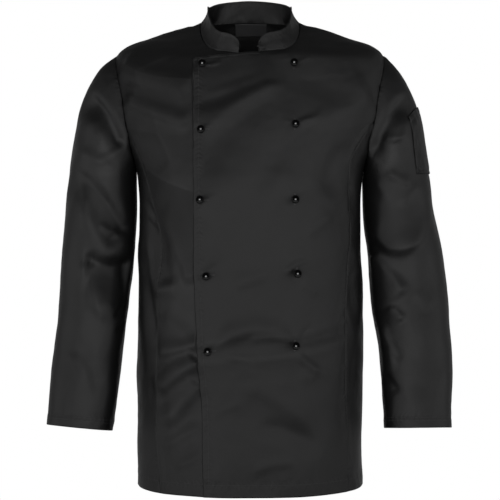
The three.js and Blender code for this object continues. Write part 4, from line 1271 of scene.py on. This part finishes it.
# %% Buttonholes
SLIT_LENGTH, SLIT_HALF, CORD = 17, 1.0, 0.55
SLIT_STEPS, SLIT_FLATNESS, CORD_SIDES = 40, 1.6, 6
SLIT_SHIFT = 3.2  # the stud sits towards one end of a level slit


def slit_oval():
    """Points of an oval round a slit that lies along x."""
    turn = np.arange(SLIT_STEPS) * 2 * math.pi / SLIT_STEPS
    straight = SLIT_LENGTH / 2 - SLIT_HALF
    along = np.clip(np.cos(turn) * SLIT_FLATNESS, -1, 1) * straight + np.cos(turn) * SLIT_HALF
    return along, np.sin(turn) * SLIT_HALF


def buttonhole(seat, out, is_level):
    """The cord round a slit, as rings of points round an oval that bends with the cloth."""
    level, up = square_ways(out)
    x, y = slit_oval() if is_level else slit_oval()[::-1]
    centre = []
    for across, rise in zip(x, y):
        place = seat + level * (across + (SLIT_SHIFT if is_level else 0)) + up * rise
        centre.append(cloth_at(lap, place[0], place[2])[0])
    centre = np.array(centre)
    ahead = unit(np.roll(centre, -1, 0) - np.roll(centre, 1, 0))
    aside = unit(np.cross(ahead, out))
    turn = np.arange(CORD_SIDES) * 2 * math.pi / CORD_SIDES
    rings = [centre + aside * CORD * math.cos(a) + out * CORD * math.sin(a) for a in turn]
    number = np.arange(SLIT_STEPS * CORD_SIDES).reshape(SLIT_STEPS, CORD_SIDES)
    ahead_number = np.roll(number, -1, 0)
    faces = np.stack([number, ahead_number, np.roll(ahead_number, -1, 1), np.roll(number, -1, 1)], -1)
    return np.stack(rings, 1).reshape(-1, 3), faces.reshape(-1, 4)


for column, is_level in (("right", True), ("left", False)):
    vertices, faces = [], []
    for name, (x, z) in STUDS.items():
        if name.startswith("stud_" + column):
            points, quads = buttonhole(*cloth_at(lap, x, z), is_level)
            faces.append(quads + sum(len(part) for part in vertices))
            vertices.append(points)
    vertices, faces = np.concatenate(vertices), np.concatenate(faces).tolist()
    place_piece(mesh_object(f"buttonholes_{column}", vertices, faces, THREAD), "twill")

# %% [markdown]
# Each piece of cloth has its cut listed, with the flat size of what shows of it, without
# its turned edges, and the loop below only looks each piece up. The sizes of the sleeves and
# of the pocket are from a slightly fuller form than the one drawn here.

# %% The cuts
CUTS = {  # width, length and area of each cut in metres, what it hangs from, its sewing
    "front_left": (0.369, 0.894, 0.198, ["back_cloth"], ["lap_stitching", "front_hem_stitching"]),
    "front_right": (0.354, 0.895, 0.184, ["back_cloth"], ["shaping_seam_right_stitching"]),
    "side_panel_left": (0.105, 0.615, 0.052, ["front_left_cloth"], ["side_hem_left_stitching"]),
    "side_panel_right": (0.125, 0.601, 0.056, ["front_right_cloth"], ["side_hem_right_stitching"]),
    "back": (0.533, 0.912, 0.376, ["front_left_cloth", "front_right_cloth"], ["back_hem_stitching"]),
    "sleeve_left": (0.488, 0.636, 0.202, ["front_left_cloth", "back_cloth"], ["cuff_left_stitching"]),
    "sleeve_right": (0.488, 0.632, 0.198, ["front_right_cloth", "back_cloth"], ["cuff_right_stitching"]),
    "collar": (0.518, 0.039, 0.016, ["back_cloth", "front_left_cloth"], ["collar_stitching"]),
    "sleeve_pocket": (0.094, 0.123, 0.0107, ["sleeve_left_cloth"], ["pocket_stitching"]),
}

for name, (width, length, area, holders, sewing) in CUTS.items():
    held = "laid" if name == "sleeve_pocket" else "hung"
    pieces[name + "_cloth"]
print("sheets:", len(CUTS) + 1)

# %% [markdown]
# The camera looks straight at the front of the jacket, level with its middle. The jacket
# hangs in soft light that comes mostly from the front at its own height.

# %% Camera, light and floor
CAMERA_AWAY, CAMERA_HEIGHT, LENS, SENSOR = 2.2, -0.375, 96, 36
FLOOR_LEVEL, FLOOR_SIZE = -1.3, 3.2


def aim(thing, place, target):
    thing.location = place
    thing.rotation_euler = (Vector(target) - Vector(place)).to_track_quat("-Z", "Y").to_euler()
    bpy.context.scene.collection.objects.link(thing)
    return thing


def softbox(name, place, target, size, power):
    light = bpy.data.lights.new(name, "AREA")
    light.shape, light.size, light.size_y, light.energy = "RECTANGLE", *size, power
    return aim(bpy.data.objects.new(name, light), place, target)


camera_data = bpy.data.cameras.new("camera")
camera_data.lens, camera_data.sensor_width = LENS, SENSOR
camera = bpy.data.objects.new("camera", camera_data)
aim(camera, (0, -CAMERA_AWAY, CAMERA_HEIGHT), (0, 0, CAMERA_HEIGHT))
bpy.context.scene.camera = camera
softbox("key", (-0.25, -2.7, -0.4), (0, 0, -0.35), (1.6, 1.2), 8)

# %% [markdown]
# Black cloth shows little of its own colour, and mostly a blurred image of the room. So the
# room makes the look: a bright screen in front, a dim one behind, dim sides and a dark
# ceiling, which darkens every slope that faces up. The camera sees the room as plain white.

# %% The room's light
SCREEN_FRONT, SCREEN_BACK, SIDES, CEILING, GROUND = 1.17, 0.34, 0.26, 0.08, 0.38
CEILING_STARTS, CEILING_FULL = 0.16, 0.62  # sines of the angle above level
GROUND_STARTS, GROUND_FULL = 0.55, 0.9  # sines of the angle below level
FRONT_EDGE, BACK_EDGE = (-0.3, 0.3), (0.55, 0.95)  # cosines of the angle from each screen
MIRRORED_SCREEN, MIRRORED_EDGE, CAMERA_GAP = 3.0, (0.86, 0.99), (0.02, 0.06)


def room_light(tree):
    way = add_node(tree, "ShaderNodeTexCoord", {}, {}, "Generated")
    forward, height = (add_node(tree, "ShaderNodeSeparateXYZ", {}, {0: way}, axis) for axis in (1, 2))
    front = 1 - fading(0 - forward, *FRONT_EDGE)
    back = 1 - fading(forward, *BACK_EDGE)
    level = SIDES + front * (SCREEN_FRONT - SIDES) + back * (SCREEN_BACK - SIDES)
    above = fading(height, CEILING_STARTS, CEILING_FULL)
    below = fading(0 - height, GROUND_STARTS, GROUND_FULL)
    return (level * above + CEILING * (1 - above)) * below + GROUND * (1 - below)


def mirrored_screens(tree):
    """What a polished stud sees: two screens, with the camera in the gap between them."""
    way = add_node(tree, "ShaderNodeTexCoord", {}, {}, "Generated")
    aside, forward = (add_node(tree, "ShaderNodeSeparateXYZ", {}, {0: way}, axis) for axis in (0, 1))
    gap = fading(aside.maths("ABSOLUTE", aside), *CAMERA_GAP)
    return (1 - fading(0 - forward, *MIRRORED_EDGE)) * (1 - gap) * MIRRORED_SCREEN


world = bpy.data.worlds.new("studio")
world.use_nodes = True
tree = world.node_tree
tree.nodes.clear()
rays = ("Is Camera Ray", "Is Singular Ray")
seen, sharp = (add_node(tree, "ShaderNodeLightPath", {}, {}, ray) for ray in rays)
sharp = sharp * (1 - seen)
strength = seen + mirrored_screens(tree) * sharp + room_light(tree) * (1 - seen) * (1 - sharp)
sky = add_node(tree, "ShaderNodeBackground", {}, {"Color": (1, 1, 1, 1), "Strength": strength})
output = tree.nodes.new("ShaderNodeOutputWorld")
tree.links.new(sky.socket, output.inputs["Surface"])
bpy.context.scene.world = world
bpy.context.scene.view_settings.view_transform = "Standard"

# %% Pale floor
floor_finish = plain_finish("pale_floor", (0.85, 0.85, 0.85), 0.9)
half = FLOOR_SIZE / 2 / MM
corners = [(-half, -half), (half, -half), (half, half), (-half, half)]
floor = mesh_object("floor", [(x, y, FLOOR_LEVEL / MM) for x, y in corners], [(0, 1, 2, 3)], floor_finish)
